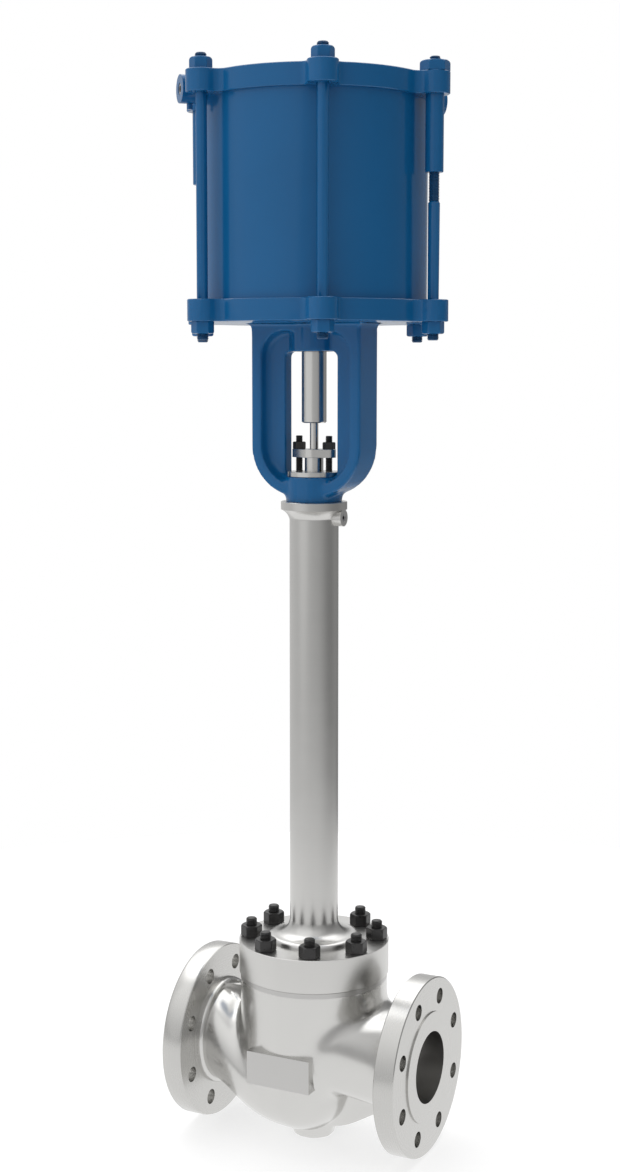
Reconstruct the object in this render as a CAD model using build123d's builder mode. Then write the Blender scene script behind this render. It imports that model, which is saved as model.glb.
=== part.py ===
from build123d import *
import os
from math import cos, radians, sin, sqrt

os.makedirs("parts", exist_ok=True)

# A globe control valve with a long extended bonnet and a spring-return piston actuator.
# Millimetres. The origin is the centre of the inlet's raised face, +X runs along the pipe
# from inlet to outlet, and +Z runs up the stem. The valve is drawn closed.

# Pipe ends
face_to_face = 368.0
bore_radius = 50.8
flange_radius = 127.0
flange_thickness = 30.0
raised_face_radius = 78.5
raised_face_height = 2.0
flange_bolt_circle = 100.1
inlet_hole_radius = 11.0
outlet_hole_radius = 11.2
flange_hole_count = 8
neck_wall = 19.2
hub_step = 8.0
hub_length = 9.0
flange_edge = 1.2

# Body casting
body_height = 116.0
chamber_floor = 0.0
waist_drop = 50.0
waist_along = 62.0
waist_step = 2.4
bowl_depth = 66.0
bowl_wall = 12.0
bowl_side_wall = 26.0
outlet_rise = 14.0
foot_radius = 31.0
foot_drop = 14.0
web_thickness = 16.0
web_edge = ((20.0, 0.5), (45.0, 3.0), (70.0, 14.0), (100.0, 31.4))
upper_web_start = 4.0
upper_web_end = 9.0
neck_fillet = 4.0
pad_width = 98.0
pad_height = 47.8
pad_proud = 4.0
pad_offset = -2.5
pad_centre_height = -2.2
pad_edge = 1.5
cast_edge = 0.8

# Trim inside the body
seat_lip = 4.0
seat_height = 2.0
seat_flange_thickness = 14.0
seat_gasket_thickness = 2.0
seat_skirt_length = 12.0
seat_shoulder = 10.0
seat_bevel = 3.0
seat_clearance = 0.3
gallery_width = 14.1
gallery_drop = 6.0
gallery_roof_thickness = 4.0
cage_bore_radius = 50.0
cage_wall = 11.9
cage_window_count = 6
cage_window_width = 34.0
cage_window_height = 44.0
cage_flange_thickness = 12.0
body_neck_step = 10.1
plug_clearance = 0.06
plug_length = 68.0
plug_skirt = 8.0
plug_hub_radius = 18.0
plug_floor = 16.0
plug_face = 4.0
plug_seal_width = 4.0
plug_seal_depth = 4.0
plug_seal_drop = 8.8
balance_hole_radius = 5.0
balance_hole_count = 4
pin_radius = 3.0
pin_drop = 14.0
travel = 50.0
travel_margin = 6.0

# Bonnet and its extension column
bonnet_flange_thickness = 48.4
bonnet_flange_margin = 18.4
chamber_step = 2.0
bonnet_boss_step = 24.0
bonnet_boss_height = 7.6
column_radius = 34.7
column_wall = 7.0
column_fillet = 22.0
extension_height = 633.6
collar_radius = 46.8
collar_thickness = 11.2
collar_cone_height = 14.1
collar_cone_curve = 20.0
bonnet_neck_radius = 30.0
bonnet_bore_gap = 2.0
stuffing_box_depth = 96.0
box_floor_thickness = 16.0
bore_taper = 14.0
guide_shelf = 4.0
guide_recess = 6.0
bonnet_gasket_thickness = 3.0
bonnet_gasket_width = 6.6
spigot_length = 12.0
purge_boss_radius = 12.0
purge_hole_radius = 5.7
purge_hole_depth = 14.0
purge_plug_length = 9.0
purge_key_radius = 2.5
purge_key_depth = 5.0
purge_drill_radius = 2.5

# Bonnet studs and nuts
stud_radius = 8.0
stud_margin = 11.3
stud_count = 8
stud_depth = 24.0
stud_hole_gap = 0.8
nut_across_flats = 27.0
nut_height = 17.0
stud_end = 9.6
stud_tip = 1.5
thread_clearance = 0.1
fit_gap = 0.1

# Stem, guides and packing
stem_radius = 6.0
stem_clearance = 0.05
stem_gap = 2.0
packing_width = 7.2
packing_clearance = 0.08
guide_length = 20.0
lantern_length = 24.0
lantern_land = 5.0
lantern_groove = 2.5
packing_ring_count = 6
packing_ring_height = 6.3
follower_stand = 19.6
gland_thickness = 11.8
gland_half_length = 33.0
gland_centre_margin = 5.8
gland_stud_radius = 5.0
gland_stud_spacing = 46.6
gland_stud_depth = 20.0
gland_nut_across_flats = 16.0
gland_nut_height = 10.0
gland_stud_end = 8.6

# Yoke casting with the lower cover
yoke_height = 248.0
yoke_width = 168.0
yoke_depth = 60.0
yoke_rim = 16.0
yoke_web = 22.0
yoke_corner = 70.0
yoke_roof = 11.0
yoke_lift = 8.0
yoke_floor_fillet = 6.0
yoke_edge_fillet = 2.0
yoke_flare = 7.0
window_width = 80.0
window_corner = 7.0
yoke_hub_radius = 39.8
yoke_hub_height = 35.3
rod_boss_wall = 15.0
rod_boss_length = 39.0
locknut_radius = 37.5
locknut_thickness = 6.7
locknut_slot = 7.0

# Actuator
cylinder_bore_radius = 150.0
cylinder_wall = 6.5
cylinder_length = 269.3
cover_thickness = 29.3
cover_rim = 6.5
cover_edge = 1.0
lug_radius = 20.5
lug_fillet = 12.0
tie_rod_radius = 8.0
tie_rod_gap = 14.5
tie_rod_count = 6
tie_rod_hole_gap = 0.4
spigot_height = 10.0
spigot_wall = 20.0
spigot_clearance = 0.2
seal_ring_radius = 1.9
port_radius = 8.3
port_depth = 16.0
drill_radius = 4.0
drill_inset = 14.0
supply_boss_radius = 14.6
supply_boss_length = 8.0
vent_boss_radius = 19.0
vent_boss_length = 27.0
vent_angle = 225.0
vent_plug_length = 12.0
vent_key_radius = 4.0
vent_key_depth = 7.0
breather_inset = 14.0
breather_radius = 2.5
breather_across_flats = 6.5
breather_height = 7.5

# Actuator nuts and release sleeves
top_nut_height = 16.0
bottom_nut_height = 16.5
tie_rod_end = 5.5
tie_rod_tail = 8.5
release_head_across_flats = 36.0
release_head_height = 14.4
release_sleeve_radius = 12.3
release_sleeve_length = 101.6
release_thread_length = 38.0
release_thread_radius = 7.3

# Piston, rod and spring
rod_radius = 17.5
rod_clearance = 0.05
rod_tail = 99.0
rod_screw_step = 3.5
rod_socket_depth = 34.0
rod_end = 6.0
rod_wiper_length = 7.0
rod_bushing_wall = 4.5
rod_bushing_length = 38.0
rod_bushing_shoulder = 4.0
rod_seal_width = 6.5
retainer_width = 12.5
retainer_thickness = 7.0
piston_clearance = 0.6
piston_thickness = 36.0
piston_lift = 12.0
piston_hub_radius = 40.0
piston_rim = 26.0
piston_dish = 6.0
piston_lip = 8.0
piston_lip_wall = 10.0
piston_seal_height = 8.0
piston_seal_depth = 6.0
piston_seal_lift = 6.0
piston_band_height = 12.0
piston_band_depth = 2.5
piston_band_lift = 18.0
piston_nut_across_flats = 46.0
piston_nut_height = 22.0
seal_clearance = 0.05
spring_wire_radius = 9.0
spring_inset = 55.0
spring_turns = 5.0
spring_ground = 2.0
spring_gap = 0.2
spring_plate_thickness = 8.0
spring_plate_margin = 26.0

# Places worked out from the sizes above
stem_x = face_to_face / 2
flange_depth = raised_face_height + flange_thickness
inlet_root = flange_depth
outlet_root = face_to_face - flange_depth
neck_run = stem_x - flange_depth
neck_radius = bore_radius + neck_wall
cage_radius = cage_bore_radius + cage_wall
body_neck_radius = cage_radius + body_neck_step
stud_circle = body_neck_radius + bonnet_gasket_width + stud_margin
bonnet_flange_radius = stud_circle + bonnet_flange_margin
chamber_radius = bonnet_flange_radius - chamber_step
waist_across = chamber_radius - waist_step
waist_height = chamber_floor - waist_drop
bowl_bottom = waist_height - bowl_depth
bonnet_top = body_height + bonnet_flange_thickness
collar_top = bonnet_top + extension_height
hub_top = collar_top + yoke_hub_height
neck_top = hub_top + locknut_thickness
packing_outer_radius = stem_radius + packing_width
guide_bore = stem_radius + stem_clearance
cover_bottom = collar_top + yoke_height
cover_top = cover_bottom + cover_thickness
window_top = cover_bottom - rod_boss_length
cylinder_radius = cylinder_bore_radius + cylinder_wall
cover_radius = cylinder_radius + cover_rim
tie_rod_circle = cylinder_radius + tie_rod_gap + tie_rod_radius
top_cover_bottom = cover_top + cylinder_length
top_cover_top = top_cover_bottom + cover_thickness
rod_bottom = window_top - rod_tail
rod_screw_radius = rod_radius - rod_screw_step
piston_radius = cylinder_bore_radius - piston_clearance
piston_bottom = cover_top + spigot_height + piston_lift
piston_top = piston_bottom + piston_thickness

stem_axis = Axis((stem_x, 0, 0), (0, 0, 1))
section = Plane(origin=(stem_x, 0, 0), x_dir=(1, 0, 0), z_dir=(0, -1, 0))


def level(height):
    """A horizontal plane at this height, centred on the stem."""
    return Plane(origin=(stem_x, 0, height))


def across(x):
    """A plane square to the pipe, at this distance from the inlet face."""
    return Plane(origin=(x, 0, 0), x_dir=(0, 1, 0), z_dir=(1, 0, 0))


def radial(angle, reach, height):
    """A plane that faces outwards from the stem at this angle, reach and height."""
    outwards = (cos(radians(angle)), sin(radians(angle)), 0)
    origin = (stem_x + reach * outwards[0], reach * outwards[1], height)
    return Plane(origin=origin, x_dir=(-outwards[1], outwards[0], 0), z_dir=outwards)


def radius_from_stem(point):
    """How far this point lies from the stem's axis."""
    return sqrt((point.X - stem_x) ** 2 + point.Y ** 2)


def between(start, end, share):
    """The size this share of the way from start to end."""
    return start + share * (end - start)


def ring(outer_radius, inner_radius):
    """The sketch of a flat ring."""
    Circle(outer_radius)
    Circle(inner_radius, mode=Mode.SUBTRACT)


def passage(stations, mode=Mode.ADD):
    """A smooth passage through oval stations, each (x, half width, half height, height)."""
    ovals = []
    for x, half_width, half_height, height in stations:
        with BuildSketch(across(x)) as oval:
            with Locations((0, height)):
                Ellipse(half_width, half_height)
        ovals.append(oval.sketch.face())
    loft(ovals, mode=mode)


def turned(points):
    """The face of a profile of (radius, height) points, to be revolved about the stem."""
    Polygon(*points, align=None)


def hex_nut(across_flats, height, hole_radius):
    """A hexagon nut standing on the XY plane, with its corners turned off at both ends."""
    corner = across_flats / sqrt(3)
    face_radius = 0.485 * across_flats
    turned_off = 0.06 * across_flats
    with BuildPart() as nut:
        with BuildSketch():
            RegularPolygon(across_flats / 2, 6, major_radius=False)
        extrude(amount=height)
        with BuildSketch(Plane.XZ):
            turned((
                (0, 0),
                (face_radius, 0),
                (corner, turned_off),
                (corner, height - turned_off),
                (face_radius, height),
                (0, height),
            ))
        revolve(axis=Axis.Z, mode=Mode.INTERSECT)
        with BuildSketch():
            Circle(hole_radius)
        extrude(amount=height, mode=Mode.SUBTRACT)
    return nut.part


# Body casting: a round upper chamber on a narrower bowl, joined to the two flanges by
# swept necks. The inlet passage dips under the seat, the outlet leaves above it.
seat_ledge = seat_height - seat_flange_thickness - seat_gasket_thickness
seat_recess_radius = cage_radius + fit_gap
gallery_radius = cage_radius + gallery_width
gallery_floor = seat_height - gallery_drop
gallery_roof = body_height - stud_depth - gallery_roof_thickness
lower_depth = bowl_depth - 2 * bowl_wall
lower_height = waist_height - bowl_wall
lower_across = waist_across - bowl_side_wall
outlet_height = between(seat_height, gallery_roof, 0.4)

inlet_outside = (
    (inlet_root, neck_radius, neck_radius, 0),
    (stem_x - 0.72 * neck_run,
     between(neck_radius, waist_across, 0.3), between(neck_radius, bowl_depth, 0.25), 0.34 * waist_height),
    (stem_x - 0.46 * neck_run,
     between(neck_radius, waist_across, 0.65), between(neck_radius, bowl_depth, 0.5), 0.76 * waist_height),
    (stem_x - 0.20 * neck_run,
     between(neck_radius, waist_across, 0.91), between(neck_radius, bowl_depth, 0.87), 0.96 * waist_height),
    (stem_x, waist_across, bowl_depth, waist_height),
)
outlet_outside = (
    (stem_x, waist_across, 0.83 * neck_radius, outlet_rise),
    (stem_x + 0.40 * neck_run,
     between(neck_radius, waist_across, 0.74), 0.87 * neck_radius, 0.7 * outlet_rise),
    (outlet_root - outlet_rise, neck_radius + 2, neck_radius - 1, 1),
    (outlet_root, neck_radius, neck_radius, 0),
)
inlet_inside = (
    (inlet_root + 2, bore_radius, bore_radius, 0),
    (stem_x - 0.72 * neck_run,
     between(bore_radius, lower_across, 0.27), between(bore_radius, lower_depth, 0.32), 0.36 * lower_height),
    (stem_x - 0.46 * neck_run,
     between(bore_radius, lower_across, 0.63), 0.92 * lower_depth, 0.83 * lower_height),
    (stem_x - 0.20 * neck_run, between(bore_radius, lower_across, 0.92), lower_depth, 0.97 * lower_height),
    (stem_x, lower_across, lower_depth, lower_height),
)
outlet_inside = (
    (stem_x, gallery_radius - 4, 0.71 * bore_radius, outlet_height),
    (stem_x + 0.40 * neck_run,
     between(bore_radius, gallery_radius, 0.68), 0.75 * bore_radius, 0.86 * outlet_height),
    (stem_x + 0.72 * neck_run,
     between(bore_radius, gallery_radius, 0.25), 0.91 * bore_radius, 0.28 * outlet_height),
    (outlet_root - 2, bore_radius, bore_radius, 0),
)
bowl_ball = scale(
    Sphere(bowl_depth, mode=Mode.PRIVATE),
    by=(waist_along / bowl_depth, waist_across / bowl_depth, 1),
    mode=Mode.PRIVATE,
)
bowl = split(
    Pos(stem_x, 0, waist_height) * bowl_ball,
    bisect_by=level(waist_height),
    keep=Keep.BOTTOM,
    mode=Mode.PRIVATE,
)
lower_ball = scale(
    Sphere(lower_depth, mode=Mode.PRIVATE),
    by=((waist_along - bowl_wall) / lower_depth, lower_across / lower_depth, 1),
    mode=Mode.PRIVATE,
)
web_points = [(stem_x + along, bowl_bottom + rise) for along, rise in web_edge]
web_points.append((outlet_root, -neck_radius))

with BuildPart() as valve_body:
    # Upper chamber, drawn in to the waist below it
    with BuildSketch(level(chamber_floor)):
        Circle(chamber_radius)
    extrude(amount=body_height - chamber_floor)
    chamfer(valve_body.faces().sort_by(Axis.Z)[-1].edges(), cast_edge)
    with BuildSketch(level(chamber_floor)):
        Circle(chamber_radius)
    with BuildSketch(level(waist_height)):
        Ellipse(waist_along, waist_across)
    loft()
    add(bowl)

    # Necks
    passage(inlet_outside)
    passage(outlet_outside)
    outlet_crease = valve_body.edges().filter_by(
        lambda edge: edge.length > face_to_face / 3
        and (edge @ 0.5).X > stem_x + neck_run / 3
        and chamber_floor < (edge @ 0.5).Z < neck_radius
        and abs((edge @ 0.5).Y) < 0.9 * chamber_radius
        and abs(radius_from_stem(edge @ 0.5) - chamber_radius) < 0.1
    )
    fillet(outlet_crease, neck_fillet)

    # Foot under the bowl
    with BuildSketch(level(bowl_bottom - foot_drop)):
        Circle(foot_radius)
    extrude(amount=foot_drop + bowl_wall)

    # Web over the inlet neck, and web under the outlet neck
    with BuildSketch(Plane.XZ):
        Polygon(
            (inlet_root, 0),
            (inlet_root, neck_radius + upper_web_start),
            (stem_x - chamber_radius + cast_edge, neck_radius + upper_web_end),
            (stem_x - chamber_radius + cast_edge, 0),
            align=None,
        )
    extrude(amount=web_thickness / 2, both=True)
    with BuildSketch(Plane.XZ):
        with BuildLine():
            Spline(*web_points)
            Polyline(web_points[-1], (outlet_root, 0), (web_points[0][0], 0), web_points[0])
        make_face()
    extrude(amount=web_thickness / 2, both=True)

    # Flanges with their raised faces and hubs
    for face, inwards in ((0, 1), (face_to_face, -1)):
        with BuildSketch(across(face + inwards * raised_face_height)):
            Circle(flange_radius)
        extrude(amount=inwards * flange_thickness)
        with BuildSketch(across(face)):
            Circle(raised_face_radius)
        extrude(amount=inwards * raised_face_height)
        with BuildSketch(across(face + inwards * flange_depth)):
            Circle(neck_radius + hub_step)
        extrude(amount=inwards * hub_length)
    rims = valve_body.edges().filter_by(GeomType.CIRCLE)
    chamfer(rims.filter_by(lambda edge: abs(edge.radius - flange_radius) < 0.01), flange_edge)
    hub_edges = valve_body.edges().filter_by(GeomType.CIRCLE).filter_by(
        lambda edge: abs(edge.radius - neck_radius - hub_step) < 0.01
        and abs(abs(edge.arc_center.X - stem_x) - neck_run + hub_length) < 0.01
    )
    fillet(hub_edges, 0.8 * hub_step)

    # Bare pad on the front of the body
    with BuildSketch(section):
        with Locations((pad_offset, pad_centre_height)):
            Rectangle(pad_width, pad_height)
    extrude(amount=chamber_radius + pad_proud)
    chamfer(valve_body.faces().sort_by(Axis.Y)[0].edges(), pad_edge)

    # Passages
    passage(inlet_inside, Mode.SUBTRACT)
    add(Pos(stem_x, 0, lower_height) * lower_ball, mode=Mode.SUBTRACT)
    passage(outlet_inside, Mode.SUBTRACT)
    for face, inwards in ((0, 1), (face_to_face, -1)):
        with BuildSketch(across(face)):
            Circle(bore_radius)
        extrude(amount=inwards * (flange_depth + 2), mode=Mode.SUBTRACT)

    # Gallery round the cage, the neck above it and the seat's place below it
    with BuildSketch(level(gallery_floor)):
        Circle(gallery_radius)
    extrude(amount=gallery_roof - gallery_floor, mode=Mode.SUBTRACT)
    with BuildSketch(level(gallery_floor)):
        Circle(body_neck_radius)
    extrude(amount=body_height - gallery_floor, mode=Mode.SUBTRACT)
    with BuildSketch(level(body_height)):
        Circle(body_neck_radius + bonnet_gasket_width + fit_gap)
    extrude(amount=-bonnet_gasket_thickness, mode=Mode.SUBTRACT)
    with BuildSketch(level(seat_ledge)):
        Circle(seat_recess_radius)
    extrude(amount=seat_flange_thickness, mode=Mode.SUBTRACT)
    with BuildSketch(level(seat_ledge)):
        Circle(seat_recess_radius - seat_shoulder)
    extrude(amount=-lower_depth, mode=Mode.SUBTRACT)

    # Flange bolt holes straddle the centrelines
    for face, inwards, hole in ((0, 1, inlet_hole_radius), (face_to_face, -1, outlet_hole_radius)):
        with BuildSketch(across(face)):
            with PolarLocations(flange_bolt_circle, flange_hole_count, 180 / flange_hole_count):
                Circle(hole)
        extrude(amount=inwards * flange_depth, mode=Mode.SUBTRACT)

    # Tapped holes for the bonnet studs
    with BuildSketch(level(body_height)):
        with PolarLocations(stud_circle, stud_count, 180 / stud_count):
            Circle(stud_radius + thread_clearance)
    extrude(amount=-stud_depth - 2, mode=Mode.SUBTRACT)
valve_body.part.label = "valve_body"
export_step(valve_body.part, "parts/valve_body.step")

# Seat ring, clamped on its gasket in the bridge wall, with a bevelled seat
seat_bore_radius = cage_bore_radius - seat_lip
seat_flange_bottom = seat_ledge + seat_gasket_thickness
seat_skirt_radius = seat_recess_radius - seat_shoulder - fit_gap
with BuildPart() as seat_gasket:
    with BuildSketch(level(seat_ledge)):
        ring(cage_radius, seat_skirt_radius + 1)
    extrude(amount=seat_gasket_thickness)
seat_gasket.part.label = "seat_gasket"
export_step(seat_gasket.part, "parts/seat_gasket.step")

with BuildPart() as seat_ring:
    with BuildSketch(section):
        turned((
            (seat_bore_radius, seat_ledge - seat_skirt_length),
            (seat_skirt_radius, seat_ledge - seat_skirt_length),
            (seat_skirt_radius, seat_flange_bottom),
            (cage_radius, seat_flange_bottom),
            (cage_radius, seat_height),
            (seat_bore_radius + seat_bevel, seat_height),
            (seat_bore_radius, seat_height - seat_bevel),
        ))
    revolve(axis=stem_axis)
seat_ring.part.label = "seat_ring"
export_step(seat_ring.part, "parts/seat_ring.step")

# Cage: a windowed sleeve clamped between the seat ring and the bonnet
cage_top = body_height - spigot_length
window_middle = seat_height + gallery_drop + cage_window_height / 2
with BuildPart() as cage:
    with BuildSketch(level(seat_height)):
        ring(cage_radius, cage_bore_radius)
    extrude(amount=cage_top - seat_height)
    with BuildSketch(level(cage_top - cage_flange_thickness)):
        ring(body_neck_radius - fit_gap, cage_bore_radius)
    extrude(amount=cage_flange_thickness)
    for index in range(cage_window_count):
        with BuildSketch(radial(360 / cage_window_count * index, 0, window_middle)):
            SlotCenterToCenter(cage_window_height - cage_window_width, cage_window_width, rotation=90)
        extrude(amount=cage_radius + 1, mode=Mode.SUBTRACT)
cage.part.label = "cage"
export_step(cage.part, "parts/cage.step")

# Plug: a balanced cup that slides in the cage and closes on the seat
plug_radius = cage_bore_radius - plug_clearance
plug_bottom = seat_height - 2 * seat_bevel
plug_top = plug_bottom + plug_length
plug_nose_radius = seat_bore_radius - seat_clearance - seat_bevel
plug_shoulder = plug_bottom + plug_radius - plug_nose_radius
plug_inner_radius = plug_radius - plug_skirt
seal_groove_bottom = plug_top - plug_seal_drop
seal_groove_top = seal_groove_bottom + plug_seal_width
pin_height = plug_top - pin_drop
pin_plane = Plane(origin=(stem_x, 0, pin_height), z_dir=(1, 0, 0))
with BuildPart() as plug:
    with BuildSketch(section):
        turned((
            (guide_bore, plug_bottom + plug_face),
            (0, plug_bottom + plug_face),
            (0, plug_bottom),
            (plug_nose_radius, plug_bottom),
            (plug_radius, plug_shoulder),
            (plug_radius, seal_groove_bottom),
            (plug_radius - plug_seal_depth, seal_groove_bottom),
            (plug_radius - plug_seal_depth, seal_groove_top),
            (plug_radius, seal_groove_top),
            (plug_radius, plug_top),
            (plug_inner_radius, plug_top),
            (plug_inner_radius, plug_bottom + plug_floor),
            (plug_hub_radius, plug_bottom + plug_floor),
            (plug_hub_radius, plug_top),
            (guide_bore, plug_top),
        ))
    revolve(axis=stem_axis)
    with BuildSketch(level(plug_bottom)):
        with PolarLocations((plug_hub_radius + plug_inner_radius) / 2, balance_hole_count, 45):
            Circle(balance_hole_radius)
    extrude(amount=plug_floor, mode=Mode.SUBTRACT)
    with BuildSketch(pin_plane):
        Circle(pin_radius)
    extrude(amount=plug_hub_radius, both=True, mode=Mode.SUBTRACT)
plug.part.label = "plug"
export_step(plug.part, "parts/plug.step")

with BuildPart() as plug_seal:
    with BuildSketch(level(seal_groove_bottom + fit_gap)):
        ring(cage_bore_radius - seal_clearance, plug_radius - plug_seal_depth + fit_gap)
    extrude(amount=plug_seal_width - 2 * fit_gap)
plug_seal.part.label = "plug_seal"
export_step(plug_seal.part, "parts/plug_seal.step")

# Stem, screwed into the piston rod and pinned in the plug
stem_bottom = plug_bottom + plug_face + fit_gap
stem_top = rod_bottom + rod_socket_depth - stem_gap
with BuildPart() as valve_stem:
    with BuildSketch(level(stem_bottom)):
        Circle(stem_radius)
    extrude(amount=stem_top - stem_bottom)
    chamfer(valve_stem.edges().filter_by(GeomType.CIRCLE), stem_radius / 8)
    with BuildSketch(pin_plane):
        Circle(pin_radius)
    extrude(amount=2 * stem_radius, both=True, mode=Mode.SUBTRACT)
valve_stem.part.label = "valve_stem"
export_step(valve_stem.part, "parts/valve_stem.step")

with BuildPart() as stem_pin:
    with BuildSketch(pin_plane):
        Circle(pin_radius - stem_clearance)
    extrude(amount=plug_hub_radius - 0.5, both=True)
stem_pin.part.label = "stem_pin"
export_step(stem_pin.part, "parts/stem_pin.step")

# Bonnet: a thick flange, a long thin-walled column that keeps the packing away from the
# cold body, and a collar and neck that carry the yoke
collar_bottom = collar_top - collar_thickness
column_top = collar_bottom - collar_cone_height
boss_radius = stud_circle - bonnet_boss_step
boss_top = bonnet_top + bonnet_boss_height
boss_fillet = 0.8 * bonnet_boss_height
boss_side_top = boss_top - boss_fillet
flare_radius = column_radius + column_fillet
flare_top = boss_top + column_fillet
column_bore = column_radius - column_wall
box_bottom = neck_top - stuffing_box_depth
box_radius = packing_outer_radius + packing_clearance
hollow_roof = plug_top + travel + travel_margin
lower_guide_bottom = hollow_roof + guide_shelf
lower_guide_top = lower_guide_bottom + guide_length
lantern_bottom = box_bottom + guide_length
purge_height = lantern_bottom + lantern_length / 2
with BuildPart() as extension_bonnet:
    with BuildSketch(section):
        with BuildLine():
            Polyline(
                (0, cage_top),
                (body_neck_radius - fit_gap, cage_top),
                (body_neck_radius - fit_gap, body_height),
                (bonnet_flange_radius - cast_edge, body_height),
                (bonnet_flange_radius, body_height + cast_edge),
                (bonnet_flange_radius, bonnet_top - cast_edge),
                (bonnet_flange_radius - cast_edge, bonnet_top),
                (boss_radius, bonnet_top),
                (boss_radius, boss_side_top),
            )
            RadiusArc((boss_radius, boss_side_top), (boss_radius - boss_fillet, boss_top), -boss_fillet)
            Line((boss_radius - boss_fillet, boss_top), (flare_radius, boss_top))
            RadiusArc((flare_radius, boss_top), (column_radius, flare_top), column_fillet)
            Line((column_radius, flare_top), (column_radius, column_top))
            RadiusArc((column_radius, column_top), (collar_radius, collar_bottom), collar_cone_curve)
            Polyline(
                (collar_radius, collar_bottom),
                (collar_radius, collar_top - cast_edge),
                (collar_radius - cast_edge, collar_top),
                (bonnet_neck_radius, collar_top),
                (bonnet_neck_radius, neck_top),
                (0, neck_top),
                (0, cage_top),
            )
        make_face()
    revolve(axis=stem_axis)
    # Purge boss under the collar
    with BuildSketch(radial(0, collar_radius, purge_height)):
        Circle(purge_boss_radius)
    extrude(amount=packing_outer_radius + column_wall - collar_radius)
    # Bore for the plug, the lower guide, the column and the packing
    with BuildSketch(section):
        turned((
            (0, cage_top),
            (cage_bore_radius + bonnet_bore_gap, cage_top),
            (cage_bore_radius + bonnet_bore_gap, hollow_roof),
            (stem_radius + stem_gap, hollow_roof),
            (stem_radius + stem_gap, lower_guide_bottom),
            (box_radius, lower_guide_bottom),
            (box_radius, lower_guide_top + guide_recess),
            (column_bore, lower_guide_top + guide_recess + bore_taper),
            (column_bore, box_bottom - box_floor_thickness - bore_taper),
            (stem_radius + stem_gap, box_bottom - box_floor_thickness),
            (stem_radius + stem_gap, box_bottom),
            (box_radius, box_bottom),
            (box_radius, neck_top),
            (0, neck_top),
        ))
    revolve(axis=stem_axis, mode=Mode.SUBTRACT)
    with BuildSketch(level(bonnet_top)):
        with PolarLocations(stud_circle, stud_count, 180 / stud_count):
            Circle(stud_radius + stud_hole_gap)
    extrude(amount=-bonnet_flange_thickness, mode=Mode.SUBTRACT)
    with BuildSketch(radial(0, collar_radius, purge_height)):
        Circle(purge_hole_radius)
    extrude(amount=-purge_hole_depth, mode=Mode.SUBTRACT)
    with BuildSketch(radial(0, collar_radius, purge_height)):
        Circle(purge_drill_radius)
    extrude(amount=stem_radius - collar_radius, mode=Mode.SUBTRACT)
    with BuildSketch(level(neck_top)):
        with Locations((gland_stud_spacing / 2, 0), (-gland_stud_spacing / 2, 0)):
            Circle(gland_stud_radius + thread_clearance)
    extrude(amount=-gland_stud_depth - 2, mode=Mode.SUBTRACT)
extension_bonnet.part.label = "extension_bonnet"
export_step(extension_bonnet.part, "parts/extension_bonnet.step")

purge_face = radial(0, collar_radius - cast_edge, purge_height)
with BuildPart() as purge_plug:
    with BuildSketch(purge_face):
        Circle(purge_hole_radius - thread_clearance)
    extrude(amount=-purge_plug_length)
    with BuildSketch(purge_face):
        RegularPolygon(purge_key_radius, 6, major_radius=False)
    extrude(amount=-purge_key_depth, mode=Mode.SUBTRACT)
purge_plug.part.label = "purge_plug"
export_step(purge_plug.part, "parts/purge_plug.step")

with BuildPart() as bonnet_gasket:
    with BuildSketch(level(body_height - bonnet_gasket_thickness)):
        ring(body_neck_radius + bonnet_gasket_width, body_neck_radius + fit_gap)
    extrude(amount=bonnet_gasket_thickness)
bonnet_gasket.part.label = "bonnet_gasket"
export_step(bonnet_gasket.part, "parts/bonnet_gasket.step")

# Bonnet studs and their heavy hexagon nuts
with BuildPart() as bonnet_studs:
    with BuildSketch(level(body_height - stud_depth)):
        with PolarLocations(stud_circle, stud_count, 180 / stud_count):
            Circle(stud_radius)
    extrude(amount=stud_depth + bonnet_flange_thickness + nut_height + stud_end)
    chamfer(bonnet_studs.edges().filter_by(GeomType.CIRCLE), stud_tip)
bonnet_studs.part.label = "bonnet_studs"
export_step(bonnet_studs.part, "parts/bonnet_studs.step")

bonnet_nut = hex_nut(nut_across_flats, nut_height, stud_radius + thread_clearance)
with BuildPart(level(bonnet_top)) as bonnet_nuts:
    with PolarLocations(stud_circle, stud_count, 180 / stud_count):
        add(bonnet_nut)
bonnet_nuts.part.label = "bonnet_nuts"
export_step(bonnet_nuts.part, "parts/bonnet_nuts.step")

# Stem guides and the packing, from the bottom up
with BuildPart() as lower_guide_bushing:
    with BuildSketch(level(lower_guide_bottom)):
        ring(packing_outer_radius, guide_bore)
    extrude(amount=guide_length)
lower_guide_bushing.part.label = "lower_guide_bushing"
export_step(lower_guide_bushing.part, "parts/lower_guide_bushing.step")

with BuildPart() as upper_guide_bushing:
    with BuildSketch(level(box_bottom)):
        ring(packing_outer_radius, guide_bore)
    extrude(amount=guide_length)
upper_guide_bushing.part.label = "upper_guide_bushing"
export_step(upper_guide_bushing.part, "parts/upper_guide_bushing.step")

lantern_waist = packing_outer_radius - lantern_groove
lantern_top = lantern_bottom + lantern_length
with BuildPart() as lantern_ring:
    with BuildSketch(section):
        turned((
            (guide_bore, lantern_bottom),
            (packing_outer_radius, lantern_bottom),
            (packing_outer_radius, lantern_bottom + lantern_land),
            (lantern_waist, lantern_bottom + lantern_land + lantern_groove),
            (lantern_waist, lantern_top - lantern_land - lantern_groove),
            (packing_outer_radius, lantern_top - lantern_land),
            (packing_outer_radius, lantern_top),
            (guide_bore, lantern_top),
        ))
    revolve(axis=stem_axis)
    with BuildSketch(radial(0, 0, purge_height)):
        Circle(purge_drill_radius)
    extrude(amount=packing_outer_radius, both=True, mode=Mode.SUBTRACT)
lantern_ring.part.label = "lantern_ring"
export_step(lantern_ring.part, "parts/lantern_ring.step")

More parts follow.
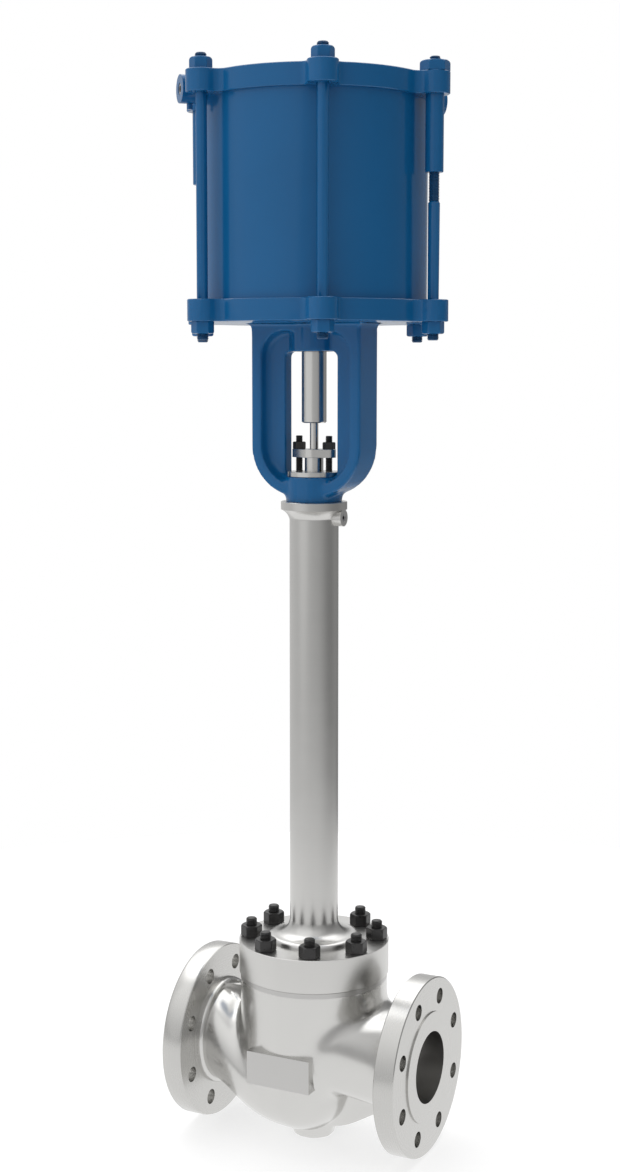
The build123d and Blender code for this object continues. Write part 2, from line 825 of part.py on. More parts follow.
packing_top = lantern_top + packing_ring_count * packing_ring_height
with BuildPart() as packing_rings:
    for index in range(packing_ring_count):
        with BuildSketch(level(lantern_top + index * packing_ring_height)):
            ring(packing_outer_radius, guide_bore)
        extrude(amount=packing_ring_height - 0.02)
packing_rings.part.label = "packing_rings"
export_step(packing_rings.part, "parts/packing_rings.step")

gland_bottom = neck_top + follower_stand
gland_top = gland_bottom + gland_thickness
with BuildPart() as packing_follower:
    with BuildSketch(level(packing_top)):
        ring(packing_outer_radius, guide_bore + fit_gap)
    extrude(amount=gland_bottom - packing_top)
packing_follower.part.label = "packing_follower"
export_step(packing_follower.part, "parts/packing_follower.step")

# Gland flange, its two studs and nuts
gland_end_radius = gland_half_length - gland_stud_spacing / 2
with BuildPart() as gland_flange:
    with BuildSketch(level(gland_bottom)):
        Circle(packing_outer_radius + gland_centre_margin)
        with Locations((gland_stud_spacing / 2, 0), (-gland_stud_spacing / 2, 0)):
            Circle(gland_end_radius)
        make_hull()
        Circle(guide_bore + stem_gap, mode=Mode.SUBTRACT)
        with Locations((gland_stud_spacing / 2, 0), (-gland_stud_spacing / 2, 0)):
            Circle(gland_stud_radius + tie_rod_hole_gap, mode=Mode.SUBTRACT)
    extrude(amount=gland_thickness)
gland_flange.part.label = "gland_flange"
export_step(gland_flange.part, "parts/gland_flange.step")

with BuildPart() as gland_studs:
    with BuildSketch(level(neck_top - gland_stud_depth)):
        with Locations((gland_stud_spacing / 2, 0), (-gland_stud_spacing / 2, 0)):
            Circle(gland_stud_radius)
    extrude(amount=gland_top + gland_nut_height + gland_stud_end - neck_top + gland_stud_depth)
    chamfer(gland_studs.edges().filter_by(GeomType.CIRCLE), gland_stud_radius / 5)
gland_studs.part.label = "gland_studs"
export_step(gland_studs.part, "parts/gland_studs.step")

gland_nut = hex_nut(gland_nut_across_flats, gland_nut_height, gland_stud_radius + thread_clearance)
with BuildPart(level(gland_top)) as gland_nuts:
    with Locations((gland_stud_spacing / 2, 0), (-gland_stud_spacing / 2, 0)):
        add(gland_nut)
gland_nuts.part.label = "gland_nuts"
export_step(gland_nuts.part, "parts/gland_nuts.step")

# Groove of the ring that seals each cover in the cylinder
seal_centre_radius = cylinder_bore_radius - seal_clearance - seal_ring_radius
groove_radius = seal_centre_radius - seal_ring_radius - fit_gap
groove_width = 2 * seal_ring_radius + 0.6

# Both covers have this plate: a disc with six filleted lugs for the tie rods
with BuildPart() as cover_plate:
    with BuildSketch() as cover_outline:
        Circle(cover_radius)
        with PolarLocations(tie_rod_circle, tie_rod_count):
            Circle(lug_radius)
        fillet(cover_outline.vertices(), lug_fillet)
    extrude(amount=cover_thickness)
    chamfer(cover_plate.faces().filter_by(Axis.Z).edges(), cover_edge)

# Yoke: a U-shaped frame of I-section, cast in one with its hub and the lower cover
frame_bottom = collar_top + yoke_lift
frame_middle = (frame_bottom + cover_bottom) / 2
recess_bottom = frame_bottom + yoke_rim
recess_top = cover_bottom - yoke_roof
rod_bore = rod_radius + rod_clearance
bushing_outer_radius = rod_radius + rod_bushing_wall
seal_outer_radius = rod_radius + rod_seal_width
retainer_outer_radius = rod_radius + retainer_width
bushing_bottom = window_top + rod_wiper_length
bushing_top = bushing_bottom + rod_bushing_length
rod_seal_bottom = bushing_top + rod_bushing_shoulder
retainer_bottom = cover_top - retainer_thickness
supply_boss_reach = cover_radius + supply_boss_length
supply_height = cover_bottom + cover_thickness / 2
well_reach = cylinder_bore_radius - spigot_wall - drill_inset
# The flare where the frame spreads into the underside of the cover
with BuildPart() as frame_flare:
    with BuildSketch(section):
        with Locations((0, cover_bottom - yoke_flare / 2)):
            Rectangle(yoke_width + 2 * yoke_flare, yoke_flare)
        with Locations(
            (-yoke_width / 2 - yoke_flare, cover_bottom - yoke_flare),
            (yoke_width / 2 + yoke_flare, cover_bottom - yoke_flare),
        ):
            Circle(yoke_flare, mode=Mode.SUBTRACT)
    extrude(amount=yoke_depth, both=True)
    with BuildSketch(across(stem_x)):
        with Locations((0, cover_bottom - yoke_flare / 2)):
            Rectangle(yoke_depth + 2 * yoke_flare, yoke_flare)
        with Locations(
            (-yoke_depth / 2 - yoke_flare, cover_bottom - yoke_flare),
            (yoke_depth / 2 + yoke_flare, cover_bottom - yoke_flare),
        ):
            Circle(yoke_flare, mode=Mode.SUBTRACT)
    extrude(amount=yoke_width, both=True, mode=Mode.INTERSECT)

with BuildPart() as yoke:
    # Frame and its recesses
    with BuildSketch(section):
        with Locations((0, frame_middle)):
            frame = Rectangle(yoke_width, cover_bottom - frame_bottom)
        fillet(frame.vertices().group_by(Axis.Y)[0], yoke_corner)
    extrude(amount=yoke_depth / 2, both=True)
    for side in (-1, 1):
        with BuildSketch(section.offset(side * yoke_depth / 2)):
            with Locations((0, (recess_bottom + recess_top) / 2)):
                recess = Rectangle(yoke_width - 2 * yoke_rim, recess_top - recess_bottom)
            fillet(recess.vertices().group_by(Axis.Y)[0], yoke_corner - yoke_rim)
        extrude(amount=-side * (yoke_depth - yoke_web) / 2, mode=Mode.SUBTRACT)
    floor_edges = yoke.edges().filter_by(lambda edge: abs(abs((edge @ 0.5).Y) - yoke_web / 2) < 0.01)
    fillet(floor_edges, yoke_floor_fillet)
    rim_edges = yoke.edges().filter_by(
        lambda edge: abs(abs((edge @ 0.5).Y) - yoke_depth / 2) < 0.01
        and (edge @ 0.5).Z < cover_bottom - 0.01
    )
    fillet(rim_edges, yoke_edge_fillet)
    add(frame_flare.part)
    # Hub, rod boss and window
    with BuildSketch(level(collar_top)):
        Circle(yoke_hub_radius)
    extrude(amount=yoke_hub_height)
    with BuildSketch(level(window_top)):
        Circle(rod_radius + rod_boss_wall)
    extrude(amount=rod_boss_length)
    with BuildSketch(section):
        with Locations((0, (hub_top + window_top) / 2)):
            RectangleRounded(window_width, window_top - hub_top, window_corner)
    extrude(amount=yoke_depth, both=True, mode=Mode.SUBTRACT)
    # Lower cover with its spigot and supply port
    with Locations((stem_x, 0, cover_bottom)):
        add(cover_plate.part)
    with BuildSketch(level(cover_top)):
        ring(cylinder_bore_radius - spigot_clearance, cylinder_bore_radius - spigot_wall)
    extrude(amount=spigot_height)
    with BuildSketch(radial(90, supply_boss_reach, supply_height)):
        Circle(supply_boss_radius)
    extrude(amount=-supply_boss_length - cover_rim)
    with BuildSketch(radial(90, supply_boss_reach, supply_height)):
        Circle(port_radius)
    extrude(amount=-port_depth, mode=Mode.SUBTRACT)
    with BuildSketch(radial(90, supply_boss_reach, supply_height)):
        Circle(drill_radius)
    extrude(amount=well_reach - supply_boss_reach, mode=Mode.SUBTRACT)
    with BuildSketch(level(supply_height)):
        with Locations((0, well_reach)):
            Circle(drill_radius)
    extrude(amount=cover_thickness, mode=Mode.SUBTRACT)
    # Bores for the bonnet neck, the rod, its bushing and seal, and the tie rods
    with BuildSketch(level(collar_top)):
        Circle(bonnet_neck_radius + fit_gap)
    extrude(amount=yoke_hub_height, mode=Mode.SUBTRACT)
    with BuildSketch(section):
        turned((
            (0, window_top),
            (seal_outer_radius, window_top),
            (seal_outer_radius, bushing_bottom),
            (bushing_outer_radius, bushing_bottom),
            (bushing_outer_radius, bushing_top),
            (rod_bore + fit_gap, bushing_top),
            (rod_bore + fit_gap, rod_seal_bottom),
            (seal_outer_radius, rod_seal_bottom),
            (seal_outer_radius, retainer_bottom),
            (retainer_outer_radius, retainer_bottom),
            (retainer_outer_radius, cover_top),
            (0, cover_top),
        ))
    revolve(axis=stem_axis, mode=Mode.SUBTRACT)
    with BuildSketch(level(cover_bottom)):
        with PolarLocations(tie_rod_circle, tie_rod_count):
            Circle(tie_rod_radius + tie_rod_hole_gap)
    extrude(amount=cover_thickness, mode=Mode.SUBTRACT)
    # Groove for the cylinder seal, and the spot face under the locknut
    with BuildSketch(level(cover_top + spigot_height / 2 - groove_width / 2)):
        ring(cylinder_bore_radius, groove_radius)
    extrude(amount=groove_width, mode=Mode.SUBTRACT)
    with BuildSketch(level(hub_top)):
        Circle(locknut_radius + 1)
    extrude(amount=2 * locknut_thickness, mode=Mode.SUBTRACT)
yoke.part.label = "yoke"
export_step(yoke.part, "parts/yoke.step")

# Locknut that clamps the yoke on the bonnet neck
with BuildPart() as yoke_locknut:
    with BuildSketch(level(hub_top)):
        ring(locknut_radius, bonnet_neck_radius + thread_clearance)
        with PolarLocations(locknut_radius, 4, 45):
            Rectangle(locknut_slot, locknut_slot, mode=Mode.SUBTRACT)
    extrude(amount=locknut_thickness)
yoke_locknut.part.label = "yoke_locknut"
export_step(yoke_locknut.part, "parts/yoke_locknut.step")

# Rod wiper, bushing, seal and retainer in the lower cover
with BuildPart() as rod_wiper:
    with BuildSketch(level(window_top)):
        ring(seal_outer_radius - fit_gap, rod_bore)
    extrude(amount=rod_wiper_length - fit_gap)
rod_wiper.part.label = "rod_wiper"
export_step(rod_wiper.part, "parts/rod_wiper.step")

with BuildPart() as rod_bushing:
    with BuildSketch(level(bushing_bottom)):
        ring(bushing_outer_radius - fit_gap, rod_bore)
    extrude(amount=rod_bushing_length - fit_gap)
rod_bushing.part.label = "rod_bushing"
export_step(rod_bushing.part, "parts/rod_bushing.step")

with BuildPart() as rod_seal:
    with BuildSketch(level(rod_seal_bottom)):
        ring(seal_outer_radius - fit_gap, rod_bore)
    extrude(amount=retainer_bottom - fit_gap - rod_seal_bottom)
rod_seal.part.label = "rod_seal"
export_step(rod_seal.part, "parts/rod_seal.step")

with BuildPart() as seal_retainer:
    with BuildSketch(level(retainer_bottom)):
        ring(retainer_outer_radius - fit_gap, rod_bore + fit_gap)
    extrude(amount=retainer_thickness - fit_gap)
seal_retainer.part.label = "seal_retainer"
export_step(seal_retainer.part, "parts/seal_retainer.step")

# Actuator cylinder, its top cover and the two seals between them
with BuildPart() as cylinder:
    with BuildSketch(level(cover_top)):
        ring(cylinder_radius, cylinder_bore_radius)
    extrude(amount=cylinder_length)
cylinder.part.label = "cylinder"
export_step(cylinder.part, "parts/cylinder.step")

release_angles = (0, 180)
plain_angles = (60, 120, 240, 300)
vent_height = top_cover_top - vent_boss_radius
vent_boss_reach = cover_radius + vent_boss_length
breather_reach = vent_boss_reach - breather_inset
with BuildPart() as top_cover:
    with Locations((stem_x, 0, top_cover_bottom)):
        add(cover_plate.part)
    with BuildSketch(level(top_cover_bottom)):
        ring(cylinder_bore_radius - spigot_clearance, cylinder_bore_radius - spigot_wall)
    extrude(amount=-spigot_height)
    # Vent bosses with their ports and drillings into the cylinder
    for angle in (vent_angle, vent_angle - 180):
        with BuildSketch(radial(angle, vent_boss_reach, vent_height)):
            Circle(vent_boss_radius)
        extrude(amount=cylinder_radius + 1 - vent_boss_reach)
        with BuildSketch(radial(angle, vent_boss_reach, vent_height)):
            Circle(port_radius)
        extrude(amount=-port_depth, mode=Mode.SUBTRACT)
        with BuildSketch(radial(angle, vent_boss_reach, vent_height)):
            Circle(drill_radius)
        extrude(amount=well_reach - vent_boss_reach, mode=Mode.SUBTRACT)
        with BuildSketch(level(vent_height)):
            with PolarLocations(well_reach, 1, angle):
                Circle(drill_radius)
        extrude(amount=-cover_thickness, mode=Mode.SUBTRACT)
    with BuildSketch(level(vent_height)):
        with PolarLocations(breather_reach, 1, vent_angle):
            Circle(breather_radius + fit_gap)
    extrude(amount=-2 * vent_boss_radius, mode=Mode.SUBTRACT)
    # Groove for the cylinder seal, and the holes for the tie rods and sleeves
    with BuildSketch(level(top_cover_bottom - spigot_height / 2 - groove_width / 2)):
        ring(cylinder_bore_radius, groove_radius)
    extrude(amount=groove_width, mode=Mode.SUBTRACT)
    with BuildSketch(level(top_cover_bottom)):
        for angle in plain_angles:
            with PolarLocations(tie_rod_circle, 1, angle):
                Circle(tie_rod_radius + tie_rod_hole_gap)
        for angle in release_angles:
            with PolarLocations(tie_rod_circle, 1, angle):
                Circle(release_sleeve_radius + tie_rod_hole_gap)
    extrude(amount=cover_thickness, mode=Mode.SUBTRACT)
top_cover.part.label = "top_cover"
export_step(top_cover.part, "parts/top_cover.step")

with BuildPart() as lower_cover_seal:
    with BuildSketch(section):
        with Locations((seal_centre_radius, cover_top + spigot_height / 2)):
            Circle(seal_ring_radius)
    revolve(axis=stem_axis)
lower_cover_seal.part.label = "lower_cover_seal"
export_step(lower_cover_seal.part, "parts/lower_cover_seal.step")

with BuildPart() as top_cover_seal:
    with BuildSketch(section):
        with Locations((seal_centre_radius, top_cover_bottom - spigot_height / 2)):
            Circle(seal_ring_radius)
    revolve(axis=stem_axis)
top_cover_seal.part.label = "top_cover_seal"
export_step(top_cover_seal.part, "parts/top_cover_seal.step")

# Plugs in the vent ports, and a small breather screwed up into the first boss
with BuildPart() as vent_plugs:
    for angle in (vent_angle, vent_angle - 180):
        with BuildSketch(radial(angle, vent_boss_reach - cast_edge, vent_height)):
            Circle(port_radius - thread_clearance)
        extrude(amount=-vent_plug_length)
        with BuildSketch(radial(angle, vent_boss_reach - cast_edge, vent_height)):
            RegularPolygon(vent_key_radius, 6, major_radius=False)
        extrude(amount=-vent_key_depth, mode=Mode.SUBTRACT)
vent_plugs.part.label = "vent_plugs"
export_step(vent_plugs.part, "parts/vent_plugs.step")

breather_top = vent_height - vent_boss_radius
with BuildPart() as breather:
    with BuildSketch(level(breather_top - breather_height)):
        with PolarLocations(breather_reach, 1, vent_angle):
            RegularPolygon(breather_across_flats / 2, 6, major_radius=False)
    extrude(amount=breather_height)
    with BuildSketch(level(breather_top)):
        with PolarLocations(breather_reach, 1, vent_angle):
            Circle(breather_radius)
    extrude(amount=breather_height)
breather.part.label = "breather"
export_step(breather.part, "parts/breather.step")

# Tie rods: four plain ones, and two long threaded ones whose sleeve nuts let the
# spring off slowly when the actuator is taken apart
tail = bottom_nut_height + tie_rod_tail
with BuildPart() as tie_rods:
    with BuildSketch(level(cover_bottom - tail)):
        for angle in plain_angles:
            with PolarLocations(tie_rod_circle, 1, angle):
                Circle(tie_rod_radius)
    extrude(amount=top_cover_top + top_nut_height + tie_rod_end - cover_bottom + tail)
    chamfer(tie_rods.edges().filter_by(GeomType.CIRCLE), stud_tip)
tie_rods.part.label = "tie_rods"
export_step(tie_rods.part, "parts/tie_rods.step")

sleeve_bottom = top_cover_bottom - release_sleeve_length
thread_bottom = sleeve_bottom - release_thread_length
with BuildPart() as release_rods:
    with BuildSketch(level(cover_bottom - tail)):
        for angle in release_angles:
            with PolarLocations(tie_rod_circle, 1, angle):
                Circle(tie_rod_radius)
    extrude(amount=thread_bottom - cover_bottom + tail)
    with BuildSketch(level(thread_bottom)):
        for angle in release_angles:
            with PolarLocations(tie_rod_circle, 1, angle):
                Circle(release_thread_radius)
    extrude(amount=top_cover_top + release_head_height + tie_rod_end - thread_bottom)
    ends = release_rods.edges().filter_by(GeomType.CIRCLE).group_by(Axis.Z)
    chamfer(ends[0] + ends[-1], stud_tip)
release_rods.part.label = "release_rods"
export_step(release_rods.part, "parts/release_rods.step")

sleeve_bore = release_thread_radius + thread_clearance
release_head = hex_nut(release_head_across_flats, release_head_height, sleeve_bore)
with BuildPart(level(top_cover_top)) as release_sleeve_nuts:
    for angle in release_angles:
        with PolarLocations(tie_rod_circle, 1, angle):
            add(release_head)
    with BuildSketch(level(sleeve_bottom)):
        for angle in release_angles:
            with PolarLocations(tie_rod_circle, 1, angle):
                ring(release_sleeve_radius, sleeve_bore)
    extrude(amount=top_cover_top - sleeve_bottom)
release_sleeve_nuts.part.label = "release_sleeve_nuts"
export_step(release_sleeve_nuts.part, "parts/release_sleeve_nuts.step")

top_nut = hex_nut(nut_across_flats, top_nut_height, tie_rod_radius + thread_clearance)
with BuildPart(level(top_cover_top)) as top_nuts:
    for angle in plain_angles:
        with PolarLocations(tie_rod_circle, 1, angle):
            add(top_nut)
top_nuts.part.label = "top_nuts"
export_step(top_nuts.part, "parts/top_nuts.step")

bottom_nut = hex_nut(nut_across_flats, bottom_nut_height, tie_rod_radius + thread_clearance)
with BuildPart(level(cover_bottom - bottom_nut_height)) as bottom_nuts:
    with PolarLocations(tie_rod_circle, tie_rod_count):
        add(bottom_nut)
bottom_nuts.part.label = "bottom_nuts"
export_step(bottom_nuts.part, "parts/bottom_nuts.step")

# Piston with its seal and wear band, carried on the rod by a nut
piston_bore = rod_screw_radius + thread_clearance
piston_seal_bottom = piston_bottom + piston_seal_lift
piston_seal_top = piston_seal_bottom + piston_seal_height
piston_band_bottom = piston_bottom + piston_band_lift
piston_band_top = piston_band_bottom + piston_band_height
piston_groove_radius = piston_radius - piston_seal_depth
piston_band_radius = piston_radius - piston_band_depth
with BuildPart() as piston:
    with BuildSketch(section):
        turned((
            (piston_bore, piston_bottom),
            (piston_hub_radius, piston_bottom),
            (piston_hub_radius + piston_dish, piston_bottom + piston_dish),
            (piston_radius - piston_rim - piston_dish, piston_bottom + piston_dish),
            (piston_radius - piston_rim, piston_bottom),
            (piston_radius, piston_bottom),
            (piston_radius, piston_seal_bottom),
            (piston_groove_radius, piston_seal_bottom),
            (piston_groove_radius, piston_seal_top),
            (piston_radius, piston_seal_top),
            (piston_radius, piston_band_bottom),
            (piston_band_radius, piston_band_bottom),
            (piston_band_radius, piston_band_top),
            (piston_radius, piston_band_top),
            (piston_radius, piston_top + piston_lip),
            (piston_radius - piston_lip_wall, piston_top + piston_lip),
            (piston_radius - piston_lip_wall - piston_lip / 2, piston_top),
            (piston_bore, piston_top),
        ))
    revolve(axis=stem_axis)
piston.part.label = "piston"
export_step(piston.part, "parts/piston.step")

with BuildPart() as piston_seal:
    with BuildSketch(level(piston_seal_bottom + fit_gap)):
        ring(cylinder_bore_radius - seal_clearance, piston_groove_radius + fit_gap)
    extrude(amount=piston_seal_height - 2 * fit_gap)
piston_seal.part.label = "piston_seal"
export_step(piston_seal.part, "parts/piston_seal.step")

with BuildPart() as piston_wear_band:
    with BuildSketch(level(piston_band_bottom + fit_gap)):
        ring(cylinder_bore_radius - seal_clearance, piston_band_radius + fit_gap)
    extrude(amount=piston_band_height - 2 * fit_gap)
piston_wear_band.part.label = "piston_wear_band"
export_step(piston_wear_band.part, "parts/piston_wear_band.step")

with BuildPart() as piston_rod:
    with BuildSketch(level(rod_bottom)):
        Circle(rod_radius)
    extrude(amount=piston_bottom - rod_bottom)
    with BuildSketch(level(piston_bottom)):
        Circle(rod_screw_radius)
    extrude(amount=piston_thickness + piston_nut_height + rod_end)
    ends = piston_rod.edges().filter_by(GeomType.CIRCLE).group_by(Axis.Z)
    chamfer(ends[0] + ends[-1], stud_tip)
    with BuildSketch(level(rod_bottom)):
        Circle(guide_bore)
    extrude(amount=rod_socket_depth, mode=Mode.SUBTRACT)
piston_rod.part.label = "piston_rod"
export_step(piston_rod.part, "parts/piston_rod.step")

rod_nut = hex_nut(piston_nut_across_flats, piston_nut_height, piston_bore)
with BuildPart(level(piston_top)) as piston_nut:
    add(rod_nut)
piston_nut.part.label = "piston_nut"
export_step(piston_nut.part, "parts/piston_nut.step")

# Main spring between the piston and a plate under the top cover, with ground ends
spring_mean_radius = cylinder_bore_radius - spring_inset
plate_bottom = top_cover_bottom - spring_plate_thickness
with BuildPart() as spring_plate:
    with BuildSketch(level(plate_bottom)):
        ring(spring_mean_radius + spring_plate_margin, spring_mean_radius - spring_plate_margin)
    extrude(amount=spring_plate_thickness)
spring_plate.part.label = "spring_plate"
export_step(spring_plate.part, "parts/spring_plate.step")

spring_bottom = piston_top + spring_gap
spring_top = plate_bottom - fit_gap
coil_start = spring_bottom + spring_wire_radius - spring_ground
coil_height = spring_top - spring_bottom - 2 * (spring_wire_radius - spring_ground)
coil = Pos(stem_x, 0, coil_start) * Helix(coil_height / spring_turns, coil_height, spring_mean_radius)
with BuildPart() as main_spring:
    with BuildSketch(Plane(origin=coil @ 0, z_dir=coil % 0)):
        Circle(spring_wire_radius)
    sweep(path=coil)
    split(bisect_by=level(spring_bottom), keep=Keep.TOP)
    split(bisect_by=level(spring_top), keep=Keep.BOTTOM)
main_spring.part.label = "main_spring"
export_step(main_spring.part, "parts/main_spring.step")
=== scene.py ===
from math import cos, pi, radians, sin, sqrt

import bmesh
import bpy
import numpy as np
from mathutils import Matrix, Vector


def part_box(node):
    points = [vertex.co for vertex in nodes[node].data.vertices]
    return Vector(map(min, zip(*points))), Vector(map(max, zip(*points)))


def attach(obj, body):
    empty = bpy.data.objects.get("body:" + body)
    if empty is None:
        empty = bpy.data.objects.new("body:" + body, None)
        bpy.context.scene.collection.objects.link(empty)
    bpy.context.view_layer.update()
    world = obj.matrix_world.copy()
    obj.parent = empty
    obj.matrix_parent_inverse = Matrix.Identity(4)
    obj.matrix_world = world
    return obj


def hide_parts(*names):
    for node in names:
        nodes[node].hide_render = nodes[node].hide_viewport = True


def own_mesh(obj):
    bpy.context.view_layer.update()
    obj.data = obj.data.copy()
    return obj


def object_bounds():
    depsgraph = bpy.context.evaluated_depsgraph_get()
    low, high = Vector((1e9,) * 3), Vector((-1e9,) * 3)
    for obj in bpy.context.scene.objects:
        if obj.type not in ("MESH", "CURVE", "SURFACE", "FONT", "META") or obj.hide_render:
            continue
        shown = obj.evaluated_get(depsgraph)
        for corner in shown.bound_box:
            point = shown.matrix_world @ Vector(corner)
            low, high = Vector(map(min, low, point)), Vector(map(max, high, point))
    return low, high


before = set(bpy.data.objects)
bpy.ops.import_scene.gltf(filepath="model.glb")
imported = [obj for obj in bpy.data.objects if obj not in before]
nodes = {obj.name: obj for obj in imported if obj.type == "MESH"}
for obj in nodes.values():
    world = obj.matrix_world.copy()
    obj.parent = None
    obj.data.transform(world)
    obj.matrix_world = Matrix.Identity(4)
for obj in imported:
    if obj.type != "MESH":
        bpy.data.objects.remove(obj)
cad_low, cad_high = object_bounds()

# Viewpoint: the valve is seen a little from above, with the outlet flange turned towards
# the viewer. The lens is a long one, so the tall valve shows almost no convergence.
camera_place = (1.29403, -2.22866, 0.979245)
camera_tilt = 6.912
camera_bearing = 26.609
camera_lens = 54.33
camera_sensor = 36.0

camera_data = bpy.data.cameras.new("photo_view")
camera_data.sensor_width = camera_sensor
camera_data.lens = camera_lens
camera_data.clip_start = 0.05
camera = bpy.data.objects.new("photo_view", camera_data)
camera.location = camera_place
camera.rotation_euler = (radians(90 - camera_tilt), 0, radians(camera_bearing))
bpy.context.scene.collection.objects.link(camera)
bpy.context.scene.camera = camera
bpy.context.scene.view_settings.view_transform = "Standard"


class Signal:
    """A shader node's output. Arithmetic on it adds Math nodes to the same node tree."""

    def __init__(self, tree, socket=None):
        self.tree = tree
        self.socket = socket

    def node(self, kind, settings=None, inputs=None, output=0):
        """Adds a node, sets it up, fills or links its inputs, and returns one output or several."""
        made = self.tree.nodes.new(kind)
        for name, value in (settings or {}).items():
            if name == "stops":
                self.fill_ramp(made.color_ramp, value)
            else:
                setattr(made, name, value)
        for name, value in (inputs or {}).items():
            if isinstance(value, Signal):
                self.tree.links.new(value.socket, made.inputs[name])
            else:
                made.inputs[name].default_value = value
        if isinstance(output, tuple):
            return [Signal(self.tree, made.outputs[name]) for name in output]
        return Signal(self.tree, made.outputs[output])

    def fill_ramp(self, ramp, stops):
        """Gives a colour ramp its stops, each a place from 0 to 1 and a colour."""
        for index, (place, colour) in enumerate(stops):
            stop = ramp.elements[index] if index < 2 else ramp.elements.new(place)
            stop.position = place
            stop.color = (*colour, 1)

    def math(self, operation, *values):
        """A Math node on these values, in order."""
        return self.node("ShaderNodeMath", {"operation": operation}, dict(enumerate(values)))

    def __add__(self, other):
        return self.math("ADD", self, other)

    def __sub__(self, other):
        return self.math("SUBTRACT", self, other)

    def __mul__(self, other):
        return self.math("MULTIPLY", self, other)

    def __rsub__(self, other):
        return self.math("SUBTRACT", other, self)

    __radd__ = __add__
    __rmul__ = __mul__


# Studio: a white surround that is dimmest to the right of the viewer, brighter overhead and
# behind the valve, a wide soft lamp at the left, one overhead, and a floor with a shadow.
surround_around = (
    (0.00, 0.80), (0.18, 0.76), (0.32, 0.65), (0.475, 0.59), (0.575, 0.51),
    (0.68, 0.30), (0.745, 0.27), (0.81, 0.36), (0.88, 0.34), (0.935, 0.24),
    (0.97, 0.62), (1.00, 0.80),
)
surround_up = ((0.00, 0.58), (0.45, 0.50), (0.52, 0.46), (0.62, 0.48), (0.80, 0.70), (0.93, 0.80))
canopy_rise = 65.0
canopy = ((0.895, 0.0), (0.925, 1.45))
floor_radius = 1.7
floor_level = 1.05
floor_columns = 96
floor_colour = (0.9, 0.9, 0.9, 1)
white = (1, 1, 1, 1)
floor_glow = 0.55
floor_lift = 0.12
surround_strength = 2.3
lamp_reach = 3.0
lamps = (
    ("key_lamp", -50.0, 26.0, 12.0, 4.4),
    ("top_lamp", 120.0, 60.0, 6.0, 2.4),
)
stem_foot = ((cad_low.x + cad_high.x) / 2, 0.0)
to_camera = np.array(camera_place[:2]) - stem_foot
to_camera = to_camera / np.linalg.norm(to_camera)
to_right = np.array((-to_camera[1], to_camera[0]))

world = bpy.data.worlds.new("studio")
world.use_nodes = True
world.node_tree.nodes.clear()
air = Signal(world.node_tree)
direction = air.node("ShaderNodeTexCoord", output="Generated")


def facing(east, north, up):
    """How far the looked-at direction agrees with this one, from -1 to 1."""
    return air.node(
        "ShaderNodeVectorMath", {"operation": "DOT_PRODUCT"},
        {0: direction, 1: (east, north, up)}, "Value",
    )


def levels(share, stops):
    """The level at this share, read off straight lines between the stops."""
    greys = [(place, (level, level, level)) for place, level in stops]
    return share.node("ShaderNodeValToRGB", {"stops": greys}, {"Fac": share})


rightwards = facing(to_right[0], to_right[1], 0)
turn = rightwards.math("ARCTAN2", rightwards, facing(to_camera[0], to_camera[1], 0))
around = levels(turn * (0.5 / pi) + 0.5, surround_around)
above = levels(facing(0, 0, 1) * 0.5 + 0.5, surround_up)
canopy_side = -cos(radians(canopy_rise))
canopy_turn = facing(
    canopy_side * to_camera[0], canopy_side * to_camera[1], sin(radians(canopy_rise)),
)
surround = around * above * surround_strength + levels(canopy_turn * 0.5 + 0.5, canopy)
seen = air.node("ShaderNodeLightPath", output="Is Camera Ray")
sky = air.node("ShaderNodeBackground", {}, {"Strength": surround})
plain = air.node("ShaderNodeBackground", {}, {"Color": white, "Strength": 1})
mixed = air.node("ShaderNodeMixShader", {}, {0: seen, 1: sky, 2: plain})
air.node("ShaderNodeOutputWorld", {}, {"Surface": mixed}, ())
bpy.context.scene.world = world

for name, bearing, height, power, size in lamps:
    compass = radians(camera_bearing - 90 + bearing)
    rise = radians(height)
    lamp_data = bpy.data.lights.new(name, "AREA")
    lamp_data.shape = "DISK"
    lamp_data.size = size
    lamp_data.energy = power
    lamp = bpy.data.objects.new(name, lamp_data)
    middle = (cad_low + cad_high) / 2
    lamp.location = middle + lamp_reach * type(middle)(
        (cos(rise) * cos(compass), cos(rise) * sin(compass), sin(rise))
    )
    lamp.rotation_euler = (lamp.location - middle).to_track_quat("Z", "Y").to_euler()
    bpy.context.scene.collection.objects.link(lamp)


def skin(name, points, closed_ends=True):
    """A mesh from a grid of points: rows run along the piece, columns close round it.
    Each pair of neighbouring rows makes a band of quads; the end rows close with a cap."""
    rows, columns = points.shape[:2]
    index = np.arange(rows * columns).reshape(rows, columns)
    turned = np.roll(index, -1, axis=1)
    quads = np.stack((index[:-1], turned[:-1], turned[1:], index[1:]), axis=-1).reshape(-1, 4)
    faces = quads.tolist()
    if closed_ends:
        faces.append(index[0][::-1].tolist())
        faces.append(index[-1].tolist())
    mesh = bpy.data.meshes.new(name)
    mesh.from_pydata(points.reshape(-1, 3).tolist(), [], faces)
    return mesh


def placed(name, mesh, body, sharp=35.0):
    """An object for this mesh that rides on a body, smooth but for edges over an angle."""
    mesh.polygons.foreach_set("use_smooth", np.ones(len(mesh.polygons), bool))
    mesh.set_sharp_from_angle(angle=radians(sharp))
    piece = bpy.data.objects.new(name, mesh)
    bpy.context.scene.collection.objects.link(piece)
    if body:
        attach(piece, body)
    return piece


floor_angles = np.linspace(0, 2 * pi, floor_columns, endpoint=False)
floor_reach = np.array((1.0, 0.0))[:, None]
floor_points = np.stack((
    stem_foot[0] + floor_radius * floor_reach * np.cos(floor_angles),
    floor_radius * floor_reach * np.sin(floor_angles),
    np.full((2, floor_columns), cad_low.z),
), axis=-1)
floor_mesh = skin("studio_floor", floor_points, closed_ends=False)
floor = placed("studio_floor", floor_mesh, None)

